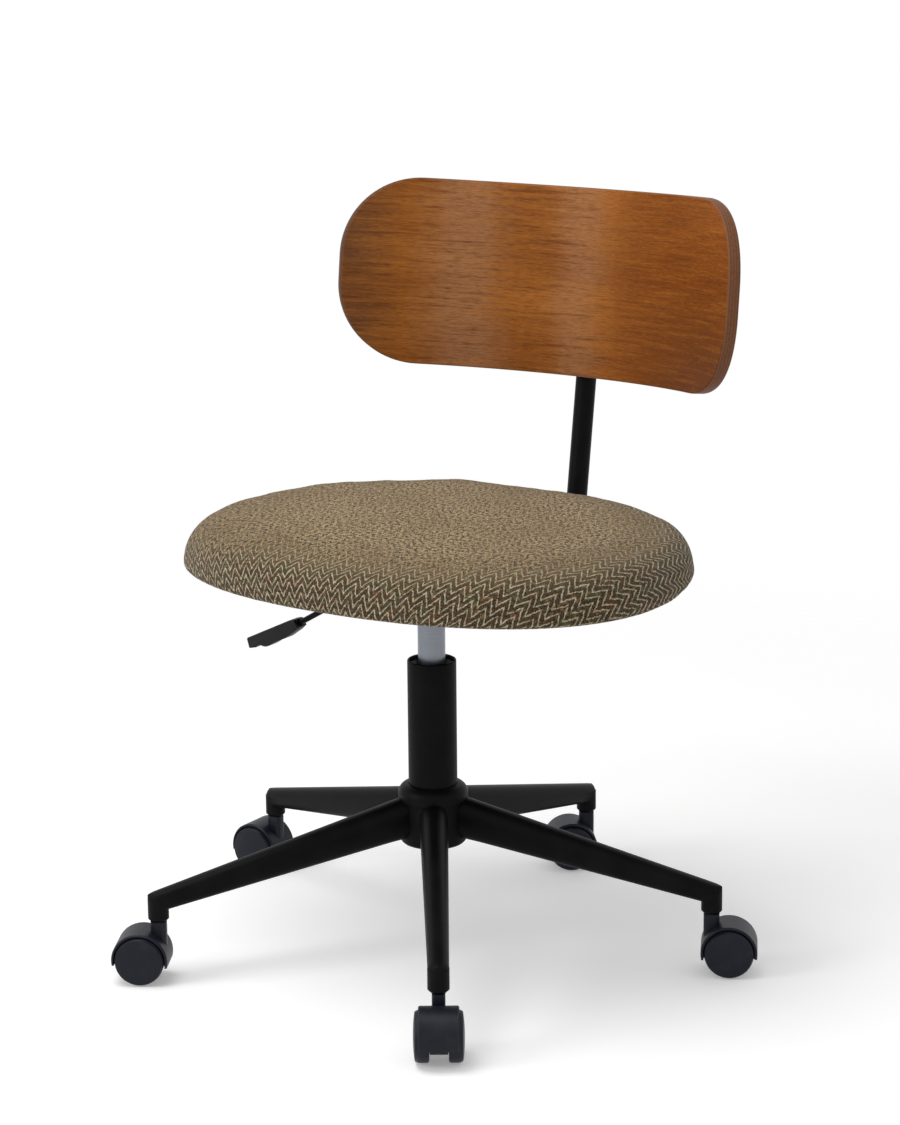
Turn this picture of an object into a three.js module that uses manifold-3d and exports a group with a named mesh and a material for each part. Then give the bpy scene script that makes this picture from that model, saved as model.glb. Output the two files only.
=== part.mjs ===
// Swivel desk chair: five steel legs on twin-wheel casters, a gas lift with a
// release lever, a round upholstered seat and a curved wooden back on a bent tube.
//
// Millimetres, +Z up. The sitter faces -Y, so +X is the sitter's left hand.
// The origin is on the floor, under the middle of the chair's bounding box.
// An azimuth is measured about Z, from -Y towards +X.

import * as THREE from 'three';
import { mergeVertices } from 'three/addons/utils/BufferGeometryUtils.js';
import Module from 'manifold-3d';

const wasm = await Module();
wasm.setup();

// Fits
const GAP = 0.3; // clearance between pieces that touch
const OVERRUN = 2; // how far a cutter runs past a face

// Place of the lift column's axis
const COLUMN_X = -5;
const COLUMN_Y = -25.4;

// Casters
const WHEEL_RADIUS = 25;
const WHEEL_INNER_FACE = 9.2; // from the caster's middle plane
const WHEEL_TREAD_EDGE = 19;
const WHEEL_CROWN = 24.5;
const WHEEL_EDGE = 2.8; // bevel between the tread and the domed outer face
const WHEEL_DOME_FALL = 0.7; // of the domed face, from its middle to where it levels off
const WHEEL_DOME_SHARE = 0.6; // that place, as a share of the radius
const WHEEL_BORE_END = 21;
const AXLE_RADIUS = 4;
const TRAIL = 18; // stem axis to axle
const HOOD_RADIUS = 28.5;
const HOOD_WALL = 2.3;
const HOOD_HALF_WIDTH = 19.5;
const WEB_HALF_WIDTH = 8.7;
const WEB_BELOW_AXLE = 8;
const NECK_WIDTH = 13;
const NECK_LENGTH = 16;
const NECK_CORNER = 4.3;
const NECK_FOOT = 37; // height where the neck starts inside the hood
const STEM_FOOT = 39;
const STEM_LOWER_RADIUS = 4;
const STEM_RADIUS = 5.5;
const STEM_GROOVE = 0.7;
const STEM_GROOVE_WIDTH = 4;
const STEM_TIP = 1.5;
const HOOD_FRONT_END_DEG = -10;
const HOOD_REAR_END_DEG = 194;

// Legs and their caster sockets
const SOCKET_CIRCLE = 292; // radius on which the stems stand
const SOCKET_RADIUS = 10.6;
const SOCKET_BOTTOM = 62.4;
const SOCKET_CHAMFER = 3;
const SOCKET_DEPTH = 22;
const LEG_ROOT_WIDTH = 29.5;
const LEG_ROOT_HEIGHT = 43.8;
const LEG_ROOT_MIDDLE = 142; // height of the leg's centre line at the hub
const LEG_TIP_WIDTH = 20.2;
const LEG_TIP_HEIGHT = 20.6;
const LEG_TIP_MIDDLE = 80.8;
const LEG_ROOT_LAP = 8; // how deep the untrimmed leg starts inside the hub
const LEG_SQUARENESS = 2.4; // 2 is an ellipse
const LEG_WALL = 1.8;
const LEG_HOLLOW_SHARE = 0.9; // how far the hollow runs from the root to the tip
const FIRST_LEG_DEG = 34;

// Hub
const HUB_BOTTOM = 112.4;
const HUB_TOP = 174.9;
const HUB_RADIUS = 33.5;
const HUB_CHAMFER = 2;
const COLLAR_RADIUS = 36;
const COLLAR_BOTTOM = 157.4;
const COLLAR_RIM_TOP = 163.9;

// Gas lift
const TUBE_RADIUS = 25;
const TUBE_WALL = 2;
const TUBE_BOTTOM = 114.4;
const CYLINDER_SHOWN = 41.5; // between the tube's rim and the seat's socket
const TUBE_FLOOR = 3.5;
const TUBE_FLOOR_HOLE = 6.5;
const SLEEVE_LENGTH = 74; // below the tube's rim
const SLEEVE_RECESS = 3; // how far the guide sleeve sits below the tube's rim
const SLEEVE_FUNNEL = 5;
const CYLINDER_RADIUS = 14;
const CYLINDER_TOP_RADIUS = 13.2; // the taper that grips the seat socket
const CYLINDER_WALL = 1.7;
const CYLINDER_CLEARANCE = 48; // of its foot above the tube's floor
const CYLINDER_INTO_PAN = 6;
const CYLINDER_FOOT = 15;
const CYLINDER_HEAD = 12;
const ROD_RADIUS = 5;
const ROD_TAIL = 6; // below the tube
const ROD_GROOVE = 1;
const ROD_SHOULDER_RADIUS = 8;
const ROD_SHOULDER = 3;
const PISTON_RISE = 150; // above the tube's underside
const PISTON_LENGTH = 10;
const BEARING_RADIUS = 12;
const BEARING_WAIST = 1;
const BEARING_WASHER = 1.8;
const BEARING_HEIGHT = 8;
const CLIP_RADIUS = 9;
const CLIP_THICKNESS = 1.2;
const CLIP_MOUTH = 6;
const PIN_RADIUS = 3;
const PIN_IN_CYLINDER = 16;

// Seat
const SEAT_HALF_WIDTH = 265.2;
const SEAT_HALF_DEPTH = 213.4;
const SEAT_BEHIND = 25.1; // seat centre behind the column axis
const SEAT_SQUARENESS = 2.24;
const SEAT_TAPER_SHARE = 0.081; // narrower at the back, wider at the front
const SEAT_UNDERSIDE = 392.9;
const SEAT_SIDE_RISE = 6.6; // from the underside to the widest line
const SEAT_EDGE_RISE = 49.2; // from the underside to the edge of the crown
const SEAT_EDGE_INSET = 34; // of the crown's edge, from the widest line
const SEAT_FOOT_INSET = 30; // of the underside's edge
const SEAT_CROWN = 6;
const BOARD_THICKNESS = 12;
const BOARD_INSET = 9; // from the turned-under cover's edge
const COVER_THICKNESS = 0.8;
const COVER_INSET = 4;

// Seat plate, with the taper socket and the lever's ears
const PLATE_THICKNESS = 2.5;
const PLATE_HALF_WIDTH = 75;
const PLATE_LENGTH_SHARE = 0.403; // of the seat's depth
const PLATE_CORNER = 14;
const PAN_HALF_WIDTH = 55;
const PAN_HALF_LENGTH = 45;
const PAN_CORNER = 8;
const PAN_DEPTH = 24.6;
const TAPER_SOCKET_LENGTH = 20; // below the pan
const TAPER_SOCKET_RADIUS = 18;
const TAPER_SOCKET_FOOT_RADIUS = 16.8;
const EAR_THICKNESS = 2.5;
const EAR_LENGTH = 12;
const EAR_RISE = 5; // above the pivot
const PLATE_BOLT_X = 64;
const PLATE_BOLT_INSET = 16; // from the plate's end

// Release lever
const PIVOT_X = -45;
const PIVOT_IN_PAN = 14; // height above the pan's underside
const PIVOT_PIN_RADIUS = 2;
const LEVER_RADIUS = 3;
const LEVER_INNER_END = 6; // past the column axis
const LEVER_BOSS_RADIUS = 5;
const LEVER_BOSS_HALF_WIDTH = 6.5;
const LEVER_BEND_RADIUS = 16;
const LEVER_INNER_RUN = 63.2; // from the inner end to the bend
const LEVER_SLOPE_DEG = 30.5;
const LEVER_OUTER_RUN = 159.5; // along the slope, from the bend to the rod's tip
const SLOT_HALF_WIDTH = 6;
const SLOT_IN_PAN = 21; // height of the slot's top above the pan's underside
const HANDLE_LENGTH = 70;
const HANDLE_ON_ROD = 46; // how much of the rod is inside it
const HANDLE_WIDTH = 17;
// The grip's outline from the side, clockwise from its inner end: how far out as a
// share of its length, and how high above the rod's axis
const HANDLE_OUTLINE = [
  [0, -4.4],
  [0, 4.4],
  [0.05, 6],
  [0.12, 7.1],
  [0.95, 11.9],
  [0.968, 10.9],
  [1, 1.7],
  [0.985, 0.8],
  [0.88, -1.4],
  [0.83, -0.4],
  [0.79, -0.9],
  [0.76, -3.4],
  [0.71, -5.6],
  [0.66, -6.4],
  [0.52, -6],
  [0.32, -7.5],
  [0.1, -6],
];

// Bolts and screws
const BOLT_RADIUS = 3;
const BOLT_HEAD_RADIUS = 6;
const BOLT_HEAD_HEIGHT = 3.5;
const BOLT_REACH = 9.5; // into the seat board
const BOLT_SOCKET_RADIUS = 2.6;
const BOLT_SOCKET_DEPTH = 2;
const BOLT_EDGE = 1.3;

// Back post
const POST_RADIUS = 11;
const POST_WALL = 1.8;
const POST_IN_PLATE = 0.9; // how deep the tube sinks into the fixing plate's weld
const POST_ON_PLATE = 24; // where the tube starts, from the fixing plate's front
const POST_LINE_BEHIND = 75; // of the upright's line at the run's height, behind the board's rear edge
const POST_ABOVE_PANEL = 47; // above the panel's middle
const POST_BEND_RADIUS = 40;
const POST_LEAN_DEG = 8.75;
const POST_PLATE_INSET = 17.1; // from the board's rear edge
const POST_PLATE_LENGTH_SHARE = 0.4592; // of the seat's depth
const POST_PLATE_HALF_WIDTH = 32;
const POST_PLATE_CORNER = 8;
const POST_BOLT_FRONT_INSET = 11;
const POST_BOLT_REAR_INSET = 13;
const POST_BOLT_X = 23;
const CAP_HEAD = 2.5;
const CAP_PLUG = 12;

// Backrest panel and its bracket
const PANEL_HALF_LENGTH = 262; // along the curve
const PANEL_HEIGHT = 200;
const PANEL_CORNER = 85.7;
const PANEL_THICKNESS = 13.5;
const PANEL_CURVE_RADIUS = 318; // of the front face, hollow towards the sitter
const PANEL_EDGE = 2;
const PANEL_BEHIND = 79.9; // of its front face behind the board's rear edge
const PANEL_RISE = 258.5; // of its middle above the seat's underside
const PANEL_LEAN_DEG = 6.6;
const BRACKET_HALF_WIDTH = 37;
const BRACKET_BOTTOM = -62; // up the panel, from its middle
const BRACKET_TOP = 44;
const BRACKET_THICKNESS = 2.5;
const CHANNEL_HALF_WIDTH = 17;
const CHANNEL_BACK = 35; // from the panel's front face
const CHANNEL_HOLLOW = 6.5;
const SCREW_RADIUS = 2.5;
const SCREW_HEAD_RADIUS = 5;
const SCREW_HEAD_HEIGHT = 3;
const SCREW_REACH = 9; // into the panel
const SCREW_X = 27;
const SCREW_UP = 34;
const SCREW_DOWN = -52;

// How finely the round shapes are cut
const WHEEL_SIDES = 20;
const ROUND_SIDES = 20;
const SMALL_SIDES = 10;
const POST_SIDES = 12;
const LEG_SIDES = 14;
const SEAT_SIDES = 48;
const ARC_STEPS = 6;
const CORNER_STEPS = 1;
const DOME_STEPS = 4;
const SEAT_SIDE_STEPS = 10;
const SEAT_CROWN_STEPS = 4;
const PANEL_MIDDLE_STEPS = 10;
const BRACKET_STEPS = 3;
const RECESS_SIDES = 6;

// Heights that follow from the sizes above
const SEAT_WIDEST = SEAT_UNDERSIDE + SEAT_SIDE_RISE;
const SEAT_TOP_EDGE = SEAT_UNDERSIDE + SEAT_EDGE_RISE;
const COVER_TOP = SEAT_UNDERSIDE - GAP;
const COVER_BOTTOM = COVER_TOP - COVER_THICKNESS;
const PLATE_TOP = COVER_BOTTOM - GAP;
const PLATE_BOTTOM = PLATE_TOP - PLATE_THICKNESS;
const BOARD_BOTTOM = SEAT_UNDERSIDE;
const BOARD_TOP = BOARD_BOTTOM + BOARD_THICKNESS;
const PAN_BOTTOM = PLATE_TOP - PAN_DEPTH;
const PAN_FLOOR = PAN_BOTTOM + PLATE_THICKNESS;
const TAPER_SOCKET_BOTTOM = PAN_BOTTOM - TAPER_SOCKET_LENGTH;
const PIVOT_Z = PAN_BOTTOM + PIVOT_IN_PAN;
const SLOT_TOP = PAN_BOTTOM + SLOT_IN_PAN;
const CYLINDER_TOP = PAN_BOTTOM + CYLINDER_INTO_PAN;
const CYLINDER_BOTTOM = TUBE_BOTTOM + CYLINDER_CLEARANCE;
const TUBE_TOP = TAPER_SOCKET_BOTTOM - CYLINDER_SHOWN;
const SLEEVE_BOTTOM = TUBE_TOP - SLEEVE_LENGTH;
const PISTON_BOTTOM = TUBE_BOTTOM + PISTON_RISE;
const ROD_BOTTOM = TUBE_BOTTOM - ROD_TAIL;
const BEARING_BOTTOM = TUBE_BOTTOM + TUBE_FLOOR + GAP;
const BEARING_TOP = BEARING_BOTTOM + BEARING_HEIGHT;
const CLIP_TOP = TUBE_BOTTOM - GAP;
const CLIP_BOTTOM = CLIP_TOP - CLIP_THICKNESS;
const PIN_FOOT = CYLINDER_TOP - PIN_IN_CYLINDER;
const PIN_TOP = PIVOT_Z - LEVER_RADIUS - GAP;
const POST_RUN_HEIGHT = PLATE_BOTTOM - POST_RADIUS + POST_IN_PLATE;
const PANEL_Z = SEAT_UNDERSIDE + PANEL_RISE;
const POST_TOP = PANEL_Z + POST_ABOVE_PANEL;
const STEM_TOP = SOCKET_BOTTOM + SOCKET_DEPTH - GAP;
const NECK_TOP = SOCKET_BOTTOM - GAP;

// Places in depth that follow from the seat's size
const CUSHION_FOOT = SEAT_HALF_WIDTH - SEAT_FOOT_INSET;
const CROWN_EDGE = SEAT_HALF_WIDTH - SEAT_EDGE_INSET;
const BOARD_RADIUS = CUSHION_FOOT - BOARD_INSET;
const BOARD_REAR = BOARD_RADIUS * (SEAT_HALF_DEPTH / SEAT_HALF_WIDTH) + SEAT_BEHIND;
const PLATE_HALF_LENGTH = SEAT_HALF_DEPTH * PLATE_LENGTH_SHARE;
const PLATE_BOLT_Y = PLATE_HALF_LENGTH - PLATE_BOLT_INSET;
const POST_PLATE_LENGTH = SEAT_HALF_DEPTH * POST_PLATE_LENGTH_SHARE;
const POST_PLATE_REAR = BOARD_REAR - POST_PLATE_INSET;
const POST_PLATE_FRONT = POST_PLATE_REAR - POST_PLATE_LENGTH;
const POST_BOLT_FRONT = POST_PLATE_FRONT + POST_BOLT_FRONT_INSET;
const POST_BOLT_REAR = POST_PLATE_REAR - POST_BOLT_REAR_INSET;
const POST_FRONT = POST_PLATE_FRONT + POST_ON_PLATE;
const POST_LINE_Y = BOARD_REAR + POST_LINE_BEHIND;
const PANEL_Y = BOARD_REAR + PANEL_BEHIND;

const radians = THREE.MathUtils.degToRad;

// Materials

function finish(color, roughness, metalness) {
  return new THREE.MeshStandardMaterial({ color, roughness, metalness });
}

const blackPaint = finish('#17171a', 0.42, 0.25);
const blackPlastic = finish('#26262a', 0.55, 0);
const greyPlastic = finish('#3a3a3d', 0.6, 0);
const chromeSteel = finish('#9a9da2', 0.28, 0.9);
const zincSteel = finish('#8b8d90', 0.4, 0.85);
const walnut = finish('#7e4a24', 0.5, 0);
const plywood = finish('#b08a5c', 0.75, 0);
const tweed = finish('#83714f', 0.95, 0);
const blackCloth = finish('#1c1c1c', 0.95, 0);

// Solids

// Turns a closed geometry into a solid for cutting and joining.
function solid(geometry) {
  const bare = geometry.clone();
  bare.deleteAttribute('normal');
  bare.deleteAttribute('uv');
  const merged = mergeVertices(bare);
  const position = merged.getAttribute('position');
  const corner = [0, 1, 2].map(() => new THREE.Vector3());
  const triangles = [];
  let volume = 0;
  for (let i = 0; i < merged.index.count; i += 3) {
    const [a, b, c] = [0, 1, 2].map((k) => merged.index.getX(i + k));
    if (a === b || b === c || c === a) continue;
    [a, b, c].forEach((vertex, k) => corner[k].fromBufferAttribute(position, vertex));
    volume += corner[0].dot(corner[1].cross(corner[2]));
    triangles.push([a, b, c]);
  }
  const faces = volume < 0 ? triangles.map(([a, b, c]) => [a, c, b]) : triangles;
  return new wasm.Manifold(new wasm.Mesh({
    numProp: 3,
    vertProperties: new Float32Array(position.array),
    triVerts: new Uint32Array(faces.flat()),
  }));
}

// Gives a solid back as a named mesh.
function piece(name, body, material) {
  const data = body.getMesh();
  const geometry = new THREE.BufferGeometry();
  geometry.setAttribute('position', new THREE.BufferAttribute(new Float32Array(data.vertProperties), 3));
  geometry.setIndex(new THREE.BufferAttribute(new Uint32Array(data.triVerts), 1));
  geometry.computeVertexNormals();
  const mesh = new THREE.Mesh(geometry, material);
  mesh.name = name;
  return mesh;
}

// A shape turned about Z from [radius, height] points. A profile that doesn't
// start on the axis closes on itself, as a ring does.
function turned(profile, sides = ROUND_SIDES, startAngle = 0) {
  const points = profile.map(([radius, height]) => new THREE.Vector2(radius, height));
  if (profile[0][0] > 0) points.push(points[0].clone());
  return new THREE.LatheGeometry(points, sides, startAngle).rotateX(Math.PI / 2);
}

// A plain round bar along Z.
function bar(radius, bottom, top, sides = ROUND_SIDES) {
  return turned([[0, bottom], [radius, bottom], [radius, top], [0, top]], sides);
}

// An outline in X and Y, raised along Z.
function raised(shape, bottom, top, steps = CORNER_STEPS) {
  const options = { depth: top - bottom, bevelEnabled: false, curveSegments: steps };
  return new THREE.ExtrudeGeometry(shape, options).translate(0, 0, bottom);
}

// An outline in Y and Z, run along X from -halfWidth to +halfWidth.
function acrossX(shape, halfWidth) {
  const toYZ = new THREE.Matrix4().makeBasis(
    new THREE.Vector3(0, 1, 0),
    new THREE.Vector3(0, 0, 1),
    new THREE.Vector3(1, 0, 0),
  );
  return raised(shape, -halfWidth, halfWidth, ARC_STEPS).applyMatrix4(toYZ);
}

function block(low, high) {
  const size = high.map((value, i) => value - low[i]);
  const middle = high.map((value, i) => (value + low[i]) / 2);
  return new THREE.BoxGeometry(...size).translate(...middle);
}

function roundedRectangle(halfWidth, halfLength, corner) {
  const shape = new THREE.Shape();
  const x = halfWidth - corner;
  const y = halfLength - corner;
  shape.absarc(x, y, corner, 0, Math.PI / 2);
  shape.absarc(-x, y, corner, Math.PI / 2, Math.PI);
  shape.absarc(-x, -y, corner, Math.PI, 1.5 * Math.PI);
  shape.absarc(x, -y, corner, 1.5 * Math.PI, 2 * Math.PI);
  return shape;
}

// Moves every vertex of a geometry by a rule.
function moved(geometry, rule) {
  const position = geometry.getAttribute('position');
  const vertex = new THREE.Vector3();
  for (let i = 0; i < position.count; i += 1) {
    rule(vertex.fromBufferAttribute(position, i));
    position.setXYZ(i, vertex.x, vertex.y, vertex.z);
  }
  return geometry;
}

// A rounded oval between an ellipse and a rectangle, as a fraction of a circle.
function squaredCosine(value, squareness) {
  return Math.sign(value) * Math.abs(value) ** (2 / squareness);
}

// Bent bars and tubes: a straight run, a bend and a second straight run in one
// plane. A positive bend turns towards the plane's second axis.

function bentPath(firstRun, bendRadius, bendAngle, lastRun) {
  const arc = bendRadius * Math.abs(bendAngle);
  const stations = [0];
  for (let i = 0; i <= ARC_STEPS; i += 1) stations.push(firstRun + (arc * i) / ARC_STEPS);
  stations.push(firstRun + arc + lastRun);
  const side = Math.sign(bendAngle);
  function at(station) {
    const turn = THREE.MathUtils.clamp((station - firstRun) / bendRadius, 0, Math.abs(bendAngle));
    const before = Math.min(station, firstRun);
    const after = Math.max(station - firstRun - arc, 0);
    return {
      along: before + bendRadius * Math.sin(turn) + after * Math.cos(turn),
      rise: side * (bendRadius * (1 - Math.cos(turn)) + after * Math.sin(turn)),
      angle: side * turn,
    };
  }
  return { stations, at };
}

// Lays a shape turned about Z along a path. `along` and `up` are the plane's axes.
function laidAlong(geometry, path, start, along, up) {
  const across = new THREE.Vector3().crossVectors(along, up);
  return moved(geometry, (vertex) => {
    const place = path.at(vertex.z);
    const forward = place.along - vertex.y * Math.sin(place.angle);
    const rise = place.rise + vertex.y * Math.cos(place.angle);
    const sideways = vertex.x;
    vertex.copy(start);
    vertex.addScaledVector(along, forward);
    vertex.addScaledVector(up, rise);
    vertex.addScaledVector(across, sideways);
  });
}

function barProfile(path, radius) {
  const last = path.stations[path.stations.length - 1];
  return [[0, 0], ...path.stations.map((station) => [radius, station]), [0, last]];
}

function tubeProfile(path, outer, inner) {
  const outside = path.stations.map((station) => [outer, station]);
  const inside = path.stations.map((station) => [inner, station]).reverse();
  return [...outside, ...inside];
}

// Base

function hub() {
  const bore = TUBE_RADIUS + GAP;
  const domeRise = HUB_TOP - COLLAR_RIM_TOP;
  const domeRun = COLLAR_RADIUS - bore;
  const dome = [];
  for (let i = 0; i < DOME_STEPS; i += 1) {
    const turn = (Math.PI / 2) * (i / DOME_STEPS);
    dome.push([bore + domeRun * Math.cos(turn), COLLAR_RIM_TOP + domeRise * Math.sin(turn)]);
  }
  return solid(turned([
    [bore, HUB_BOTTOM],
    [HUB_RADIUS - HUB_CHAMFER, HUB_BOTTOM],
    [HUB_RADIUS, HUB_BOTTOM + HUB_CHAMFER],
    [HUB_RADIUS, COLLAR_BOTTOM],
    [COLLAR_RADIUS, COLLAR_BOTTOM],
    ...dome,
    [bore, HUB_TOP],
  ]));
}

// The space that the hub takes from the legs.
function hubEnvelope() {
  return solid(turned([
    [0, HUB_BOTTOM - LEG_ROOT_HEIGHT],
    [HUB_RADIUS + GAP, HUB_BOTTOM - LEG_ROOT_HEIGHT],
    [HUB_RADIUS + GAP, COLLAR_BOTTOM - GAP],
    [COLLAR_RADIUS + GAP, COLLAR_BOTTOM - GAP],
    [COLLAR_RADIUS + GAP, HUB_TOP + LEG_ROOT_HEIGHT],
    [0, HUB_TOP + LEG_ROOT_HEIGHT],
  ]));
}

// The leg's tapered oval along -Y, from its root to a share of its length, a wall's
// thickness smaller where it is the hollow.
function legArm(endShare, wall) {
  const root = HUB_RADIUS - LEG_ROOT_LAP;
  const tip = SOCKET_CIRCLE + SOCKET_RADIUS;
  const oval = new THREE.Shape();
  for (let i = 0; i < LEG_SIDES; i += 1) {
    const turn = (2 * Math.PI * i) / LEG_SIDES;
    const x = squaredCosine(Math.cos(turn), LEG_SQUARENESS);
    const y = squaredCosine(Math.sin(turn), LEG_SQUARENESS);
    if (i === 0) oval.moveTo(x, y);
    else oval.lineTo(x, y);
  }
  oval.closePath();
  return solid(moved(raised(oval, 0, endShare), (vertex) => {
    const share = vertex.z;
    const halfWidth = THREE.MathUtils.lerp(LEG_ROOT_WIDTH, LEG_TIP_WIDTH, share) / 2 - wall;
    const halfHeight = THREE.MathUtils.lerp(LEG_ROOT_HEIGHT, LEG_TIP_HEIGHT, share) / 2 - wall;
    const middle = THREE.MathUtils.lerp(LEG_ROOT_MIDDLE, LEG_TIP_MIDDLE, share);
    const reach = THREE.MathUtils.lerp(root, tip, share);
    vertex.set(vertex.x * halfWidth, -reach, middle + vertex.y * halfHeight);
  }));
}

// One leg, pointing along -Y: a tapered oval tube with an upright socket at its tip.
function leg() {
  const plan = new THREE.Shape();
  plan.moveTo(-LEG_ROOT_WIDTH, 0);
  plan.lineTo(-SOCKET_RADIUS, -SOCKET_CIRCLE);
  plan.absarc(0, -SOCKET_CIRCLE, SOCKET_RADIUS, Math.PI, 2 * Math.PI);
  plan.lineTo(LEG_ROOT_WIDTH, 0);
  plan.closePath();
  const outline = solid(raised(plan, 0, HUB_TOP + LEG_ROOT_HEIGHT, ARC_STEPS));
  const rounded = legArm(1, 0).intersect(outline).subtract(legArm(LEG_HOLLOW_SHARE, LEG_WALL));
  const socketTop = SOCKET_BOTTOM + SOCKET_DEPTH;
  const socket = solid(turned([
    [0, SOCKET_BOTTOM],
    [SOCKET_RADIUS - SOCKET_CHAMFER, SOCKET_BOTTOM],
    [SOCKET_RADIUS, SOCKET_BOTTOM + SOCKET_CHAMFER],
    [SOCKET_RADIUS, socketTop],
    [0, socketTop],
  ], LEG_SIDES).translate(0, -SOCKET_CIRCLE, 0));
  const hole = solid(bar(STEM_RADIUS + GAP, SOCKET_BOTTOM - OVERRUN, socketTop, SMALL_SIDES)
    .translate(0, -SOCKET_CIRCLE, 0));
  return rounded.add(socket).subtract(hubEnvelope()).subtract(hole);
}

// Casters. The stem's axis is at the origin and the axle trails towards -Y.

function casterHood() {
  const start = radians(HOOD_FRONT_END_DEG);
  const end = radians(HOOD_REAR_END_DEG);
  const inner = HOOD_RADIUS - HOOD_WALL;
  const band = new THREE.Shape();
  // The outline's first axis is Y, so the front end lies at the angle's far side.
  band.absarc(0, 0, HOOD_RADIUS, Math.PI - end, Math.PI - start, false);
  band.absarc(0, 0, inner, Math.PI - start, Math.PI - end, true);
  band.closePath();
  const web = new THREE.Shape();
  const webRadius = inner + HOOD_WALL / 2;
  const dip = Math.asin(WEB_BELOW_AXLE / webRadius);
  web.absarc(0, 0, webRadius, -dip, Math.PI + dip, false);
  web.closePath();
  const body = solid(acrossX(band, HOOD_HALF_WIDTH)).add(solid(acrossX(web, WEB_HALF_WIDTH)));
  const placed = body.translate([0, -TRAIL, WHEEL_RADIUS]);
  const neck = solid(raised(
    roundedRectangle(NECK_WIDTH / 2, NECK_LENGTH / 2, NECK_CORNER),
    NECK_FOOT,
    NECK_TOP,
  ));
  const stemHole = solid(bar(STEM_LOWER_RADIUS + GAP, STEM_FOOT - GAP, NECK_TOP + OVERRUN, SMALL_SIDES));
  const axleHole = solid(axleBar(AXLE_RADIUS + GAP, WEB_HALF_WIDTH + OVERRUN));
  return placed.add(neck).subtract(stemHole).subtract(axleHole);
}

function axleBar(radius, halfLength) {
  return bar(radius, -halfLength, halfLength, SMALL_SIDES)
    .rotateY(Math.PI / 2)
    .translate(0, -TRAIL, WHEEL_RADIUS);
}

function casterStem() {
  const shoulder = SOCKET_BOTTOM;
  const groove = STEM_TOP - STEM_TIP - 2 * STEM_GROOVE_WIDTH;
  return solid(turned([
    [0, STEM_FOOT],
    [STEM_LOWER_RADIUS, STEM_FOOT],
    [STEM_LOWER_RADIUS, shoulder],
    [STEM_RADIUS, shoulder],
    [STEM_RADIUS, groove],
    [STEM_RADIUS - STEM_GROOVE, groove],
    [STEM_RADIUS - STEM_GROOVE, groove + STEM_GROOVE_WIDTH],
    [STEM_RADIUS, groove + STEM_GROOVE_WIDTH],
    [STEM_RADIUS, STEM_TOP - STEM_TIP],
    [STEM_RADIUS - STEM_TIP, STEM_TOP],
    [0, STEM_TOP],
  ], SMALL_SIDES));
}

// A wheel with a blind bore. The sides are turned so that a flat one is at the bottom.
function casterWheel(side) {
  const halfStep = Math.PI / WHEEL_SIDES;
  const flat = WHEEL_RADIUS / Math.cos(halfStep);
  const bore = AXLE_RADIUS + GAP;
  const shape = turned([
    [0, WHEEL_BORE_END],
    [bore, WHEEL_BORE_END],
    [bore, WHEEL_INNER_FACE],
    [flat, WHEEL_INNER_FACE],
    [flat, WHEEL_TREAD_EDGE],
    [flat - WHEEL_EDGE, WHEEL_TREAD_EDGE + WHEEL_EDGE],
    [flat * WHEEL_DOME_SHARE, WHEEL_CROWN - WHEEL_DOME_FALL],
    [0, WHEEL_CROWN],
  ], WHEEL_SIDES, halfStep);
  return solid(shape.rotateY((side * Math.PI) / 2).translate(0, -TRAIL, WHEEL_RADIUS));
}

function caster(name) {
  const group = new THREE.Group();
  group.add(piece(`${name}_caster_stem`, casterStem(), zincSteel));
  group.add(piece(`${name}_caster_hood`, casterHood(), blackPlastic));
  group.add(piece(`${name}_caster_axle`, solid(axleBar(AXLE_RADIUS, WHEEL_BORE_END - GAP)), zincSteel));
  group.add(piece(`${name}_caster_wheel_a`, casterWheel(1), blackPlastic));
  group.add(piece(`${name}_caster_wheel_b`, casterWheel(-1), blackPlastic));
  return group;
}

// Gas lift

function columnTube() {
  const inner = TUBE_RADIUS - TUBE_WALL;
  return solid(turned([
    [TUBE_FLOOR_HOLE, TUBE_BOTTOM],
    [TUBE_RADIUS, TUBE_BOTTOM],
    [TUBE_RADIUS, TUBE_TOP],
    [inner, TUBE_TOP],
    [inner, TUBE_BOTTOM + TUBE_FLOOR],
    [TUBE_FLOOR_HOLE, TUBE_BOTTOM + TUBE_FLOOR],
  ]));
}

function guideSleeve() {
  const outer = TUBE_RADIUS - TUBE_WALL - GAP;
  const inner = CYLINDER_RADIUS + GAP;
  const top = TUBE_TOP - SLEEVE_RECESS;
  return solid(turned([
    [inner, SLEEVE_BOTTOM],
    [outer, SLEEVE_BOTTOM],
    [outer, top],
    [(outer + inner) / 2, top],
    [inner, top - SLEEVE_FUNNEL],
  ]));
}

// The cylinder that carries the seat. Its upper end tapers into the seat socket.
function gasCylinder() {
  const chamber = CYLINDER_RADIUS - CYLINDER_WALL;
  const rodHole = ROD_RADIUS + GAP;
  const pinHole = PIN_RADIUS + GAP;
  return solid(turned([
    [rodHole, CYLINDER_BOTTOM],
    [CYLINDER_RADIUS, CYLINDER_BOTTOM],
    [CYLINDER_RADIUS, TAPER_SOCKET_BOTTOM],
    [CYLINDER_TOP_RADIUS, CYLINDER_TOP],
    [pinHole, CYLINDER_TOP],
    [pinHole, CYLINDER_TOP - CYLINDER_HEAD],
    [chamber, CYLINDER_TOP - CYLINDER_HEAD],
    [chamber, CYLINDER_BOTTOM + CYLINDER_FOOT],
    [rodHole, CYLINDER_BOTTOM + CYLINDER_FOOT],
  ]));
}

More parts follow.
